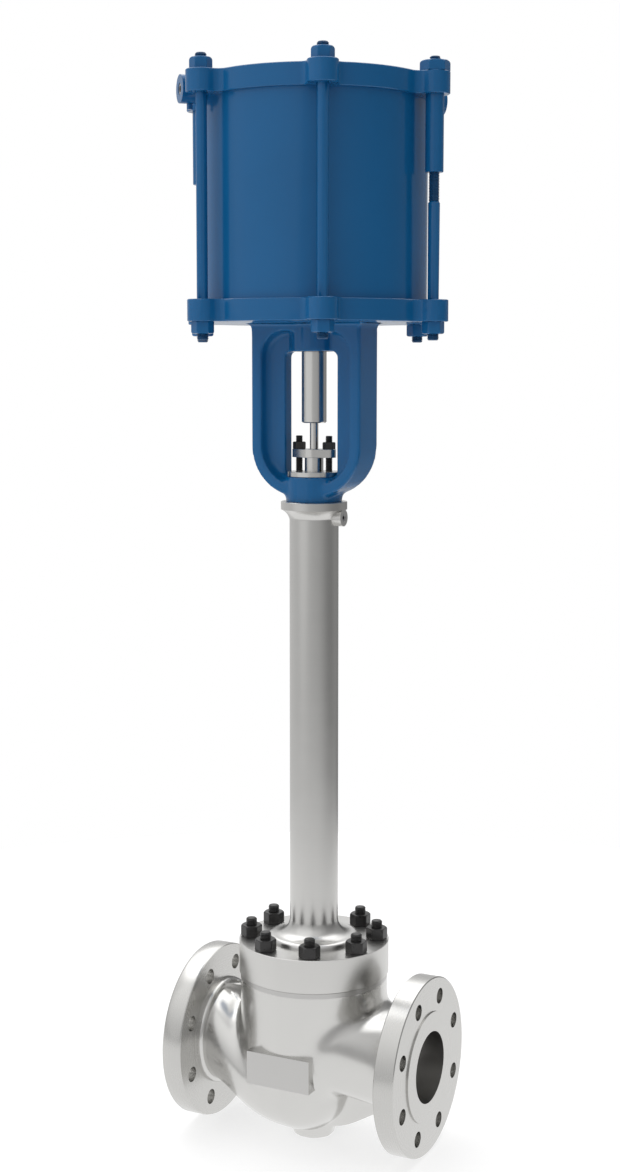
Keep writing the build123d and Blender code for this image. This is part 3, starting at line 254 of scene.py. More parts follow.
floor_paint = bpy.data.materials.new("studio_floor")
floor_paint.use_nodes = True
floor_paint.node_tree.nodes.clear()
ground = Signal(floor_paint.node_tree)
matt = ground.node("ShaderNodeBsdfDiffuse", {}, {"Color": floor_colour})
glow = ground.node("ShaderNodeEmission", {}, {"Color": white, "Strength": 1})
reflected = ground.node("ShaderNodeEmission", {}, {"Color": white, "Strength": floor_level})
to_eye, to_gloss = ground.node("ShaderNodeLightPath", output=("Is Camera Ray", "Is Glossy Ray"))
seen_floor = ground.node("ShaderNodeAddShader", {}, {
    0: ground.node("ShaderNodeMixShader", {}, {0: floor_glow, 1: matt, 2: glow}),
    1: ground.node("ShaderNodeEmission", {}, {"Color": white, "Strength": floor_lift}),
})
unseen_floor = ground.node("ShaderNodeMixShader", {}, {0: to_gloss, 1: matt, 2: reflected})
ground.node("ShaderNodeOutputMaterial", {}, {
    "Surface": ground.node("ShaderNodeMixShader", {}, {0: to_eye, 1: unseen_floor, 2: seen_floor}),
}, ())
floor.data.materials.append(floor_paint)

# Valve body: a stainless casting, ground satin all over, with the pipe flanges, the pad and
# the joint for the bonnet machined on it. The cast skin flows round every inside corner.
steel_colour = (0.62, 0.615, 0.60)
steel_roughness = 0.24
flange_inner = 0.0325
flange_outer = 0.3355
cast_start = 0.052
cast_end = 0.316
cast_reach = 0.2
joint_height = 0.1085
voxel = 0.0026
smoothing_rounds = 80
hollow_share = 0.5
crest_share = 0.05
easing = 0.022
merge_distance = 1e-6
flat_angle = radians(0.3)
pad_low, pad_high = (0.1322, -0.125, -0.0264), (0.2308, -0.080, 0.0220)
pad_proud = 0.0020
chamber_radius = 0.1063
chamber_margin = 0.01
shoulder_start, shoulder_bend, shoulder_end = 0.200, 0.260, 0.315
shoulder_width, shoulder_narrowing, narrowing_start = 0.0965, 0.32, 0.240
shoulder_middle, shoulder_rise, shoulder_depth = 0.006, 0.068, 0.050
shoulder_squareness, shoulder_drop = 3.4, 0.004
round_columns, shoulder_rows = 180, 48
passage_radius, passage_inlet, passage_outlet = 0.0515, 0.06, 0.31
flange_margin, joint_margin = 0.0005, 0.0002
stem_x = 0.184
lines_per_metre, line_wander = 1400.0, 14
# Painted shade: the flanges' base colour is darker than the casting's, standing in for their dimmer
# reflections.
flange_shaded_colour = (0.56, 0.555, 0.54)
band_colour = (0.52, 0.515, 0.505)
# Painted shade: the bore's base colour is darker than the casting's, standing in for the dark
# inside of the pipe.
passage_shaded_colour = (0.45, 0.445, 0.435)
# Painted shade: the pad's base colour is darker than the casting's, standing in for the dimmer
# reflection of its upright face.
pad_shaded_colour = (0.53, 0.525, 0.515)


def merged_copy(node, name):
    """A copy of a CAD node's mesh with its doubles merged and its flat faces made whole."""
    work = bmesh.new()
    work.from_mesh(nodes[node].data)
    bmesh.ops.remove_doubles(work, verts=work.verts, dist=merge_distance)
    bmesh.ops.dissolve_limit(work, angle_limit=flat_angle, verts=work.verts, edges=work.edges)
    bmesh.ops.triangulate(work, faces=[face for face in work.faces if len(face.verts) > 4])
    mesh = bpy.data.meshes.new(name)
    work.to_mesh(mesh)
    work.free()
    for layer in ("custom_normal", "sharp_face", "sharp_edge"):
        if layer in mesh.attributes:
            mesh.attributes.remove(mesh.attributes[layer])
    return mesh


def with_modifiers(name, mesh, *modifiers):
    """The mesh that a mesh becomes under these modifiers, each a type and its settings."""
    carrier = bpy.data.objects.new(name + "_work", mesh)
    bpy.context.scene.collection.objects.link(carrier)
    for kind, settings in modifiers:
        modifier = carrier.modifiers.new(kind, kind)
        for key, value in settings.items():
            setattr(modifier, key, value)
    made = bpy.data.meshes.new_from_object(
        carrier.evaluated_get(bpy.context.evaluated_depsgraph_get())
    )
    bpy.data.objects.remove(carrier)
    made.name = name
    return made


def flowed(mesh, rounds, freedom):
    """Moves each point towards the mean of its neighbours, far in a hollow, little on a crest.
    The mean is a sum over edges, and a point lies in a hollow if its mean is outside it.
    The freedom is worked out from the points, from 0 where they stay still to 1."""
    count = len(mesh.vertices)
    points = np.empty(count * 3)
    mesh.vertices.foreach_get("co", points)
    points = points.reshape(-1, 3)
    ends = np.empty(len(mesh.edges) * 2, int)
    mesh.edges.foreach_get("vertices", ends)
    first, second = ends.reshape(-1, 2).T
    links = np.bincount(first, minlength=count) + np.bincount(second, minlength=count)
    free = np.clip(freedom(*points.T), 0, 1)
    for turn in range(rounds):
        normals = np.empty(count * 3)
        mesh.vertices.foreach_set("co", points.ravel())
        mesh.update()
        mesh.vertex_normals.foreach_get("vector", normals)
        total = np.stack([
            np.bincount(first, points[second, axis], count)
            + np.bincount(second, points[first, axis], count)
            for axis in range(3)
        ], axis=-1)
        drift = total / links[:, None] - points
        outside = np.einsum("ij,ij->i", drift, normals.reshape(-1, 3)) > 0
        share = np.where(outside, hollow_share, crest_share) * free
        points = points + drift * share[:, None]
    mesh.vertices.foreach_set("co", points.ravel())
    mesh.update()
    return mesh


def block(name, low, high):
    """A closed box between two corners, for cutting."""
    corner = np.array([(x, y, z) for x in (0, 1) for y in (0, 1) for z in (0, 1)])
    points = np.array(low) + corner * (np.array(high) - np.array(low))
    faces = [(0, 1, 3, 2), (4, 6, 7, 5), (0, 4, 5, 1), (2, 3, 7, 6), (0, 2, 6, 4), (1, 5, 7, 3)]
    mesh = bpy.data.meshes.new(name)
    mesh.from_pydata(points.tolist(), [], faces)
    return mesh


def cut(name, mesh, other, operation):
    """One closed mesh joined with another, or cut by it."""
    tool = bpy.data.objects.new(name + "_tool", other)
    bpy.context.scene.collection.objects.link(tool)
    settings = {"operation": operation, "object": tool, "solver": "MANIFOLD"}
    made = with_modifiers(name, mesh, ("BOOLEAN", settings))
    bpy.data.objects.remove(tool)
    return made


def without_films(name, mesh):
    """The mesh as triangles on merged points, without its films. A film is a pair of faces
    on the same three points, back to back, which a union leaves where two cuts meet."""
    mesh.calc_loop_triangles()
    corners = np.empty(len(mesh.loop_triangles) * 3, np.int32)
    mesh.loop_triangles.foreach_get("vertices", corners)
    points = np.empty(len(mesh.vertices) * 3)
    mesh.vertices.foreach_get("co", points)
    points, merged = np.unique(points.reshape(-1, 3).round(7), axis=0, return_inverse=True)
    triangles = merged.ravel()[corners].reshape(-1, 3)
    ordered = np.sort(triangles, axis=1)
    _, group, copies = np.unique(ordered, axis=0, return_inverse=True, return_counts=True)
    whole = (np.diff(ordered, axis=1) > 0).all(axis=1) & (copies[group.ravel()] == 1)
    made = bpy.data.meshes.new(name)
    made.from_pydata(points.tolist(), [], triangles[whole].tolist())
    return made


def outlet_shoulder():
    """The outlet neck's broad shoulders, as rings from the chamber to the flange. The lower
    half of each is an ellipse. The upper half is a squarish oval, where the two offsets, as
    shares of the reach and raised to the squareness, add up to 1; it eases to an ellipse."""
    along = np.linspace(shoulder_start, shoulder_end, shoulder_rows)[:, None]
    blend = np.clip((along - shoulder_bend) / (shoulder_end - shoulder_bend), 0, 1)
    power = 2 / (shoulder_squareness + (2 - shoulder_squareness) * blend)
    width = shoulder_width - shoulder_narrowing * np.maximum(along - narrowing_start, 0)
    cosine, sine = np.cos(round_angles), np.sin(round_angles)
    above = sine > 0
    across = width * np.sign(cosine) * np.abs(cosine) ** np.where(above, power, 1.0)
    rise = (shoulder_rise - shoulder_drop * blend) * np.abs(sine) ** power
    up = shoulder_middle + np.where(above, rise, shoulder_depth * sine)
    return skin("shoulder", np.stack((along + 0 * across, across, up), axis=-1))


body_copy = merged_copy("valve_body", "valve_body_copy")
round_angles = np.linspace(0, 2 * pi, round_columns, endpoint=False)
chamber_points = np.stack((
    stem_x + chamber_radius * np.cos(round_angles) * np.ones((2, 1)),
    chamber_radius * np.sin(round_angles) * np.ones((2, 1)),
    np.array((pad_low[2] - chamber_margin, pad_high[2] + chamber_margin))[:, None]
    * np.ones(round_columns),
), axis=-1)
chamber = skin("chamber", chamber_points)
proud = cut("proud", block("pad_zone", pad_low, pad_high), chamber, "DIFFERENCE")
bare = cut("bare", body_copy, proud, "DIFFERENCE")
bare = cut("bare", bare, outlet_shoulder(), "UNION")
cast = with_modifiers("cast", bare, ("REMESH", {"mode": "VOXEL", "voxel_size": voxel}))
cast = flowed(
    cast, smoothing_rounds,
    lambda x, y, z: np.minimum(x - cast_start, cast_end - x) / easing,
)
cast_low = (cast_start, -cast_reach, -cast_reach)
cast_high = (cast_end, cast_reach, joint_height)
cast_zone = block("cast_zone", cast_low, cast_high)
cast = cut("cast", cast, cast_zone, "INTERSECT")
machined = cut("machined", body_copy, cast_zone, "DIFFERENCE")
pad = cut("pad", body_copy, block("pad_zone", pad_low, pad_high), "INTERSECT")
body_mesh = cut("body", cut("body", cast, machined, "UNION"), pad, "UNION")
body_mesh = without_films("body", body_mesh)
valve_body = placed("valve_body_casting", body_mesh, "housing", 32)
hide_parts("valve_body")


def paint(name):
    """A new material with an empty node tree, and the signal that adds nodes to it."""
    material = bpy.data.materials.new(name)
    material.use_nodes = True
    material.node_tree.nodes.clear()
    return material, Signal(material.node_tree)


def coat(piece, material):
    """Gives a piece or a CAD node this material in every slot."""
    piece.data.materials.clear()
    piece.data.materials.append(material)


def noise(tree, place, scale, detail=2.0, softness=0.5):
    """Soft noise from 0 to 1, with so many patches to the metre and so many finer layers."""
    return tree.node("ShaderNodeTexNoise", {}, {
        "Vector": place, "Scale": scale, "Detail": detail, "Roughness": softness,
    }, "Fac")


def turned_lines(tree, place, centre, axis, fine):
    """A signal of fine turned lines: noise that changes quickly with the radius and along
    the axis, and slowly round it."""
    x, y, z = tree.node("ShaderNodeSeparateXYZ", {}, {0: place}, ("X", "Y", "Z"))
    along, first, second = (x, y, z) if axis == "X" else (z, x - centre, y)
    square = first * first + second * second
    radius = square.math("SQRT", square)
    stretched = tree.node("ShaderNodeCombineXYZ", {}, {
        "X": (radius + along) * fine,
        "Y": first * line_wander,
        "Z": second * line_wander,
    })
    return noise(tree, stretched, 1.0, 3.0, 0.6)


def steel_finish(
    name, colour, roughness, lines, centre=0.0, axis="Z", line_depth=0.00003, grain=0.5,
):
    """Satin steel. Its tint wanders a little, its gloss changes from line to line or from
    patch to patch, and a faint bump follows the turned lines and the ground grain."""
    material, tree = paint(name)
    place = tree.node("ShaderNodeTexCoord", output="Object")
    cloud = noise(tree, place, 26.0, 4.0, 0.55)
    fleck = noise(tree, place, 900.0)
    line = turned_lines(tree, place, centre, axis, lines_per_metre) if lines else fleck
    tone = 0.95 + cloud * 0.06 + line * (0.05 if lines else 0.03)
    base = tree.node("ShaderNodeVectorMath", {"operation": "SCALE"}, {0: colour, "Scale": tone})
    rough = roughness - 0.07 + cloud * 0.08 + line * 0.07
    height = line * (1.0 if lines else 0.3) + fleck * grain
    bump = tree.node("ShaderNodeBump", {}, {
        "Height": height, "Strength": 0.2, "Distance": line_depth,
    })
    shader = tree.node("ShaderNodeBsdfPrincipled", {}, {
        "Base Color": base, "Metallic": 1.0, "Roughness": rough, "Normal": bump,
    })
    tree.node("ShaderNodeOutputMaterial", {}, {"Surface": shader}, ())
    return material


cast_steel = steel_finish("satin_casting", steel_colour, steel_roughness, False, grain=0.12)
# Painted shade: the turned flanges get a darker steel for their dimmer reflections.
flange_shaded_steel = steel_finish("turned_flange_shaded", flange_shaded_colour, 0.26, True, 0.0, "X", grain=0.15)
band_steel = steel_finish("turned_band", band_colour, 0.33, True, stem_x, "Z")
# Painted shade: the bore gets a darker steel for the dark inside of the pipe.
bore_shaded_steel = steel_finish("bored_passage_shaded", passage_shaded_colour, 0.30, True, 0.0, "X")
# Painted shade: the pad gets a darker steel for the dimmer reflection of its upright face.
pad_shaded_steel = steel_finish("cast_pad_shaded", pad_shaded_colour, 0.30, False, grain=0.3)
for material in (cast_steel, flange_shaded_steel, bore_shaded_steel, band_steel, pad_shaded_steel):
    body_mesh.materials.append(material)
middles = np.empty(len(body_mesh.polygons) * 3)
body_mesh.polygons.foreach_get("center", middles)
middle_x, middle_y, middle_z = middles.reshape(-1, 3).T
from_pipe = np.hypot(middle_y, middle_z)
at_inlet, at_outlet = middle_x < passage_inlet, middle_x > passage_outlet
in_bore = (from_pipe < passage_radius) & (at_inlet | at_outlet)
on_flange = (middle_x < flange_inner + flange_margin) | (middle_x > flange_outer - flange_margin)
on_band = (middle_z > joint_height - joint_margin) & ~on_flange
on_pad = (middle_y < -chamber_radius - pad_proud) & ~on_flange
# Faces take their finish by where they lie; the flange, bore and pad finishes carry painted shade.
finish_and_shade_index = np.select((in_bore, on_flange, on_band, on_pad), (2, 1, 3, 4), 0)
body_mesh.polygons.foreach_set("material_index", finish_and_shade_index.astype(np.int32))

# Bonnet: one stainless piece turned all over, from the thick flange with its raised boss,
# up the long plain column that keeps the packing away from the pipe, to the collar.
edge_angle = radians(40)
edge_steps = 2
bonnet_steel = steel_finish("turned_bonnet", steel_colour, 0.30, True, stem_x, "Z")


def dressed(node, name, body, material, bevel=0.0, sharp=32):
    """A finished piece in place of a CAD node: the same shape, smooth where it is round,
    with its edges broken where a width is given."""
    mesh = merged_copy(node, name)
    piece = placed(name, mesh, body, sharp)
    if bevel:
        broken = piece.modifiers.new("broken_edges", "BEVEL")
        broken.limit_method = "ANGLE"
        broken.angle_limit = edge_angle
        broken.width = bevel
        broken.segments = edge_steps
    weighted = piece.modifiers.new("even_light", "WEIGHTED_NORMAL")
    weighted.keep_sharp = True
    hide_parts(node)
    coat(piece, material)
    return piece


dressed("extension_bonnet", "bonnet_and_column", "housing", bonnet_steel)

# Bonnet studs and nuts: eight black heavy hex nuts on threaded studs. The nut's corners are
# turned off at both ends, and the stud's thread ends in a small chamfer.
nut_flats = 0.027
nut_low = 0.1644
nut_height = 0.017
stud_radius = 0.008
stud_pitch = 0.002
stud_ring = 0.0910
stud_tip = 0.0015
body_thread_high = 0.110
nut_thread_start = 0.004
nut_corner = 0.985
nut_turns = (0.0012, 0.0026)
flat_places = (-30.0, -28.7, -25.0, -17.0, 0.0, 17.0, 25.0, 28.7)
turn_shares = (0.0, 0.12, 0.35, 0.65, 1.0)
seam_distance = 1e-7
thread_depth = 0.54
thread_steepness, thread_crest = 2.6, 0.15
steps_per_pitch = 8
black_colour = (0.032, 0.031, 0.031)


def ring_places(count, radius, first_angle):
    """The places of fasteners on a circle about the stem, as (x, y) rows."""
    angles = np.radians(first_angle) + 2 * pi * np.arange(count) / count
    return np.stack((stem_x + radius * np.cos(angles), radius * np.sin(angles)), axis=-1)


def joined(name, points, places):
    """One mesh of the same grid of points repeated at each (x, y) place."""
    pieces = bmesh.new()
    for x, y in places:
        part = skin(name, points + np.array((x, y, 0.0)))
        pieces.from_mesh(part)
        bpy.data.meshes.remove(part)
    bmesh.ops.remove_doubles(pieces, verts=pieces.verts, dist=seam_distance)
    mesh = bpy.data.meshes.new(name)
    pieces.to_mesh(mesh)
    pieces.free()
    return mesh


def nut_points(flats, low, high, hole, low_turn, high_turn, crown=0.45):
    """A hex nut as rows up its outside, which close on the hole at both ends. The outside
    radius is half the flats over the cosine of the angle from the middle of a flat, held in
    by a quarter ellipse at each end, from the crown's radius to the corner's."""
    angles = (np.radians(flat_places) + np.radians(60) * np.arange(6)[:, None]).ravel()
    from_flat = (angles + pi / 6) % (pi / 3) - pi / 6
    corner = flats / sqrt(3) * nut_corner
    hexagon = np.minimum(flats / 2 / np.cos(from_flat), corner)
    share = np.array(turn_shares)
    heights = np.concatenate((low + low_turn * share, high - high_turn * share[::-1]))
    rise = np.concatenate((share, share[::-1]))
    dome = flats * crown + (corner - flats * crown) * np.sqrt(1 - (1 - rise) ** 2)
    outside = np.minimum(hexagon[None, :], dome[:, None])
    radii = np.vstack((np.full(angles.size, hole), outside, np.full(angles.size, hole)))
    risen = np.concatenate(((low,), heights, (high,)))[:, None] * np.ones(angles.size)
    return np.stack((radii * np.cos(angles), radii * np.sin(angles), risen), axis=-1)


def rod_points(radius, low, high, pitch, threads, tip, columns=32):
    """A round rod as rows up its length. Over each threaded stretch the radius falls and
    rises once per pitch, as a rounded saw of the height less the turn, and a cone takes the
    crests off at both tips."""
    angles = np.linspace(0, 2 * pi, columns, endpoint=False)
    dense = [np.arange(start, end, pitch / steps_per_pitch) for start, end in threads]
    heights = np.unique(np.concatenate(dense + [(low, low + tip, high - tip, high)]))
    threaded = np.zeros(heights.size)
    for start, end in threads:
        threaded = np.maximum(threaded, (heights >= start) & (heights <= end))
    phase = (heights[:, None] / pitch - angles[None, :] / (2 * pi)) % 1.0
    saw = np.clip(np.abs(phase - 0.5) * thread_steepness - thread_crest, 0, 1)
    to_tip = np.minimum(heights - low, high - heights)[:, None]
    groove = thread_depth * pitch * saw * threaded[:, None]
    radii = np.minimum(radius - groove, radius - tip + to_tip)
    risen = np.repeat(heights[:, None], columns, axis=1)
    return np.stack((radii * np.cos(angles), radii * np.sin(angles), risen), axis=-1)


def fastened(name, node, mesh, material, sharp=20):
    """A made piece in place of a CAD node of the housing, in one material."""
    piece = placed(name, mesh, "housing", sharp)
    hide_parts(node)
    coat(piece, material)
    return piece


def black_finish(name, colour, roughness):
    """Black oxide with a trace of oil: near black, a little worn and browner in patches."""
    material, tree = paint(name)
    place = tree.node("ShaderNodeTexCoord", output="Object")
    patch = noise(tree, place, 160.0, 4.0, 0.6)
    grain = noise(tree, place, 1600.0)
    tone = 0.6 + patch * 0.8
    base = tree.node("ShaderNodeVectorMath", {"operation": "SCALE"}, {0: colour, "Scale": tone})
    bump = tree.node("ShaderNodeBump", {}, {
        "Height": patch + grain * 0.5, "Strength": 0.3, "Distance": 0.0001,
    })
    shader = tree.node("ShaderNodeBsdfPrincipled", {}, {
        "Base Color": base, "Metallic": 0.35, "Roughness": roughness - 0.1 + patch * 0.2,
        "Normal": bump,
    })
    tree.node("ShaderNodeOutputMaterial", {}, {"Surface": shader}, ())
    return material


black_oxide = black_finish("black_oxide", black_colour, 0.30)
stud_places = ring_places(8, stud_ring, 22.5)
nut_shape = nut_points(nut_flats, nut_low, nut_low + nut_height, stud_radius, *nut_turns)
fastened(
    "bonnet_hex_nuts", "bonnet_nuts", joined("bonnet_nuts", nut_shape, stud_places),
    black_oxide,
)
stud_low, stud_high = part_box("bonnet_studs")
stud_thread = ((stud_low.z, body_thread_high), (nut_low - nut_thread_start, stud_high.z))
stud_shape = rod_points(stud_radius, stud_low.z, stud_high.z, stud_pitch, stud_thread, stud_tip)
fastened(
    "bonnet_threaded_studs", "bonnet_studs", joined("bonnet_studs", stud_shape, stud_places),
    black_oxide, 60,
)

# Packing gland: a ground steel follower and an oval flange, pressed down by two black studs
# with hex nuts. The purge plug under the collar is a plain steel socket plug.
gland_top = 0.8714
gland_nut_flats = 0.016
gland_nut_height = 0.010
gland_stud_radius = 0.005
gland_pitch = 0.0015
gland_reach = 0.0233
gland_nut_turns = (0.0006, 0.0016)
gland_bevel = 0.0005
gland_stud_tip = 0.001
gland_stud_columns = 24
gland_thread_start = 0.841
fine_lines = 0.00001
bright_colour = (0.64, 0.635, 0.62)
plug_colour = (0.44, 0.44, 0.45)

bright_steel = steel_finish("ground_steel", bright_colour, 0.20, True, stem_x, "Z", fine_lines)
plug_steel = steel_finish("plain_steel", plug_colour, 0.34, False)
dressed("packing_follower", "gland_follower", "housing", bright_steel)
dressed("gland_flange", "gland_oval_flange", "housing", bright_steel, gland_bevel)
dressed("purge_plug", "purge_socket_plug", "housing", plug_steel)
gland_places = ((stem_x - gland_reach, 0.0), (stem_x + gland_reach, 0.0))
gland_nut = nut_points(
    gland_nut_flats, gland_top, gland_top + gland_nut_height, gland_stud_radius,
    *gland_nut_turns,
)
fastened(
    "gland_hex_nuts", "gland_nuts", joined("gland_nuts", gland_nut, gland_places),
    black_oxide,
)
gland_low, gland_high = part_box("gland_studs")
gland_thread = ((gland_thread_start, gland_high.z),)
gland_stud = rod_points(
    gland_stud_radius, gland_low.z, gland_high.z, gland_pitch, gland_thread, gland_stud_tip,
    gland_stud_columns,
)
fastened(
    "gland_threaded_studs", "gland_studs", joined("gland_studs", gland_stud, gland_places),
    black_oxide, 60,
)

# Yoke with the lower actuator cover: an iron casting in semi-gloss blue enamel, with broken
# edges. The slotted locknut clamps it on the bonnet's neck.
blue_colour = (0.006, 0.120, 0.315)
# A darker blue painted on the threads as the shade in their grooves.
thread_shade_blue = (0.010, 0.070, 0.175)
enamel_roughness = 0.16
yoke_start, yoke_end, yoke_cut = 0.79, 1.0450, 1.060
yoke_easing, yoke_still = 0.012, 0.004
bore_reach, bore_easing = 0.036, 0.006
yoke_rounds = 26
recess_wall = 0.068
recess_roof = 1.0350
arch_radius, arch_overlap, arch_columns = 0.034, 0.001, 24
arch_face, arch_floor = 0.030, 0.010
cover_bevel = 0.0008
locknut_bevel = 0.0004


def enamel(name, colour, roughness, ripple):
    """Blue enamel with a clear gloss. The colour pools a little, the gloss wanders, and the
    bump is the sprayed skin's fine peel over the slower ripple of the metal under it."""
    material, tree = paint(name)
    place = tree.node("ShaderNodeTexCoord", output="Object")
    pool = noise(tree, place, 9.0, 3.0)
    peel = noise(tree, place, 520.0, 2.0, 0.45)
    swell = noise(tree, place, 60.0)
    base = tree.node("ShaderNodeVectorMath", {"operation": "SCALE"}, {
        0: colour, "Scale": 0.93 + pool * 0.14,
    })
    bump = tree.node("ShaderNodeBump", {}, {
        "Height": peel * 0.25 + swell * ripple, "Strength": 0.25, "Distance": 0.0002,
    })
    shader = tree.node("ShaderNodeBsdfPrincipled", {}, {
        "Base Color": base, "Roughness": roughness - 0.05 + pool * 0.1, "Normal": bump,
        "IOR": 1.4,
    })
    tree.node("ShaderNodeOutputMaterial", {}, {"Surface": shader}, ())
    return material


cast_enamel = enamel("blue_enamel_cast", blue_colour, enamel_roughness, 1.0)
smooth_enamel = enamel("blue_enamel_smooth", blue_colour, enamel_roughness, 0.3)
# Painted shade: the thread enamel is darker to stand in for the shade in the grooves.
thread_shade_enamel = enamel("blue_enamel_thread_shade", thread_shade_blue, 0.40, 1.0)


def arch_corner(side, front):
    """The cast corner that arches a recess's roof: a square whose inner corner is taken off
    by a quarter circle, carried from the recess's floor to its rim."""
    angles = np.linspace(0, pi / 2, arch_columns)
    across = np.concatenate(((arch_overlap,), arch_radius * (np.cos(angles) - 1)))
    up = np.concatenate(((arch_overlap,), arch_radius * (np.sin(angles) - 1)))
    outline = np.stack((stem_x + side * (recess_wall + across), recess_roof + up), axis=-1)
    if side * front < 0:
        outline = outline[::-1]
    points = np.stack([
        np.stack((outline[:, 0], np.full(len(outline), front * depth), outline[:, 1]), axis=-1)
        for depth in (arch_floor, arch_face)
    ])
    return skin("arch_corner", points)


yoke_copy = merged_copy("yoke", "yoke_copy")
under_cut = block("under_cut", (-1, -1, 0), (1, 1, yoke_cut))
yoke_bare = cut("yoke_bare", yoke_copy, under_cut, "INTERSECT")
for side in (-1, 1):
    for front in (-1, 1):
        yoke_bare = cut("yoke_bare", yoke_bare, arch_corner(side, front), "UNION")
frame_cast = with_modifiers(
    "frame_cast", yoke_bare, ("REMESH", {"mode": "VOXEL", "voxel_size": voxel}),
)
frame_cast = flowed(
    frame_cast, yoke_rounds,
    lambda x, y, z: np.minimum(
        (yoke_end - yoke_still - z) / yoke_easing,
        (np.hypot(x - stem_x, y) - bore_reach) / bore_easing,
    ),
)
frame_zone = block("frame_zone", (-1, -1, yoke_start), (1, 1, yoke_end))
frame_cast = cut("frame_cast", frame_cast, frame_zone, "INTERSECT")
cover_edges = {
    "limit_method": "ANGLE", "angle_limit": edge_angle, "width": cover_bevel,
    "segments": edge_steps,
}
lower_cover = with_modifiers("lower_cover", yoke_copy, ("BEVEL", cover_edges))
lower_cover = cut("lower_cover", lower_cover, frame_zone, "DIFFERENCE")
yoke_mesh = without_films("yoke", cut("yoke", frame_cast, lower_cover, "UNION"))
yoke_casting = placed("yoke_casting", yoke_mesh, "housing", 34)
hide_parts("yoke")
coat(yoke_casting, cast_enamel)
dressed("yoke_locknut", "slotted_locknut", "housing", bright_steel, locknut_bevel)

# Actuator cylinder and top cover: a drawn steel tube between two cast covers, enamelled in
# one colour after assembly. The plugs in the vent bosses and the breather are added after.
breather_bevel = 0.0003
dressed("cylinder", "cylinder_tube", "housing", smooth_enamel)
dressed("top_cover", "top_cover_casting", "housing", cast_enamel, cover_bevel, 38)
dressed("vent_plugs", "vent_socket_plugs", "housing", plug_steel)
dressed("breather", "breather_cap", "housing", smooth_enamel, breather_bevel)

# Tie rods: four plain rods, threaded at their ends, with domed nuts on top and plain nuts
# under the lower cover. All are enamelled with the actuator; the threads get a darker blue as
# painted shade.
tie_ring = 0.179
rod_radius = 0.008
rod_pitch = 0.002
top_level = 1.3739
under_level = 1.0460
top_nut_height = 0.016
bottom_nut_height = 0.0165
top_nut_turns = (0.0006, 0.0045)
bottom_nut_turns = (0.0028, 0.0006)
top_nut_crown = 0.40
rod_tip = 0.002
under_thread = under_level - 0.014
top_thread = top_level + 0.013
tie_low, tie_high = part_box("tie_rods")
plain_places = ring_places(6, tie_ring, 0)[[1, 2, 4, 5]]
release_places = ring_places(6, tie_ring, 0)[[0, 3]]

tie_threads = ((tie_low.z, under_thread), (top_thread, tie_high.z))
tie_shape = rod_points(rod_radius, tie_low.z, tie_high.z, rod_pitch, tie_threads, rod_tip)
tie_rods = fastened(
    "tie_rods_plain", "tie_rods", joined("tie_rods", tie_shape, plain_places),
    smooth_enamel, 50,
)


def darkened(piece, stretches):
    """Gives the faces of a rod between these heights a darker enamel, painted shade for a thread's
    grooves.
    """
    piece.data.materials.append(thread_shade_enamel)
    middles = np.empty(len(piece.data.polygons) * 3)
    piece.data.polygons.foreach_get("center", middles)
    level = middles.reshape(-1, 3)[:, 2]
    inside = np.zeros(level.size, bool)
    for start, end in stretches:
        inside |= (level > start) & (level < end)
    piece.data.polygons.foreach_set("material_index", inside.astype(np.int32))


# Painted shade: the threaded ends get the darker blue.
darkened(tie_rods, tie_threads)
top_nut = nut_points(
    nut_flats, top_level, top_level + top_nut_height, rod_radius, *top_nut_turns,
    top_nut_crown,
)
fastened(
    "domed_top_nuts", "top_nuts", joined("top_nuts", top_nut, plain_places),
    smooth_enamel,
)
bottom_nut = nut_points(
    nut_flats, under_level - bottom_nut_height, under_level, rod_radius, *bottom_nut_turns,
)
fastened(
    "lower_hex_nuts", "bottom_nuts",
    joined("bottom_nuts", bottom_nut, np.vstack((plain_places, release_places))),
    smooth_enamel,
)

# Release rods: two longer rods whose upper half is threaded. Each carries a long sleeve nut
# with a wide low head, which lets the spring off slowly when the actuator is taken apart.
head_flats = 0.036
head_height = 0.0144
head_turns = (0.0010, 0.0040)
head_crown = 0.42
sleeve_radius = 0.0123
sleeve_low = 1.2430
sleeve_top = top_level + 0.0005
sleeve_columns = 48
sleeve_chamfer = 0.0012
thread_low = 1.2050
thread_high = sleeve_low + 0.002
thread_radius = 0.0073
thread_tip = 0.0015
thread_overlap = 0.001
rod_top = 2.0
release_low, release_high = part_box("release_rods")


def joined_shapes(name, shapes, places):
    """One mesh of several grids of points, each repeated at every (x, y) place."""
    work = bmesh.new()
    for shape in shapes:
        part = joined(name, shape, places)
        work.from_mesh(part)
        bpy.data.meshes.remove(part)
    mesh = bpy.data.meshes.new(name)
    work.to_mesh(mesh)
    work.free()
    return mesh


lower_thread = (release_low.z, under_thread)
lower_rod = rod_points(
    rod_radius, release_low.z, thread_low, rod_pitch, (lower_thread,), rod_tip,
)
upper_rod = rod_points(
    thread_radius, thread_low - thread_overlap, release_high.z, rod_pitch,
    ((thread_low, thread_high), (top_thread, release_high.z)), thread_tip,
)
release_rods = fastened(
    "release_rods_threaded", "release_rods",
    joined_shapes("release_rods", (lower_rod, upper_rod), release_places),
    smooth_enamel, 50,
)
# Painted shade: the threads and the tips above the heads get the darker blue.
darkened(release_rods, (lower_thread, (thread_low, thread_high), (top_level, rod_top)))

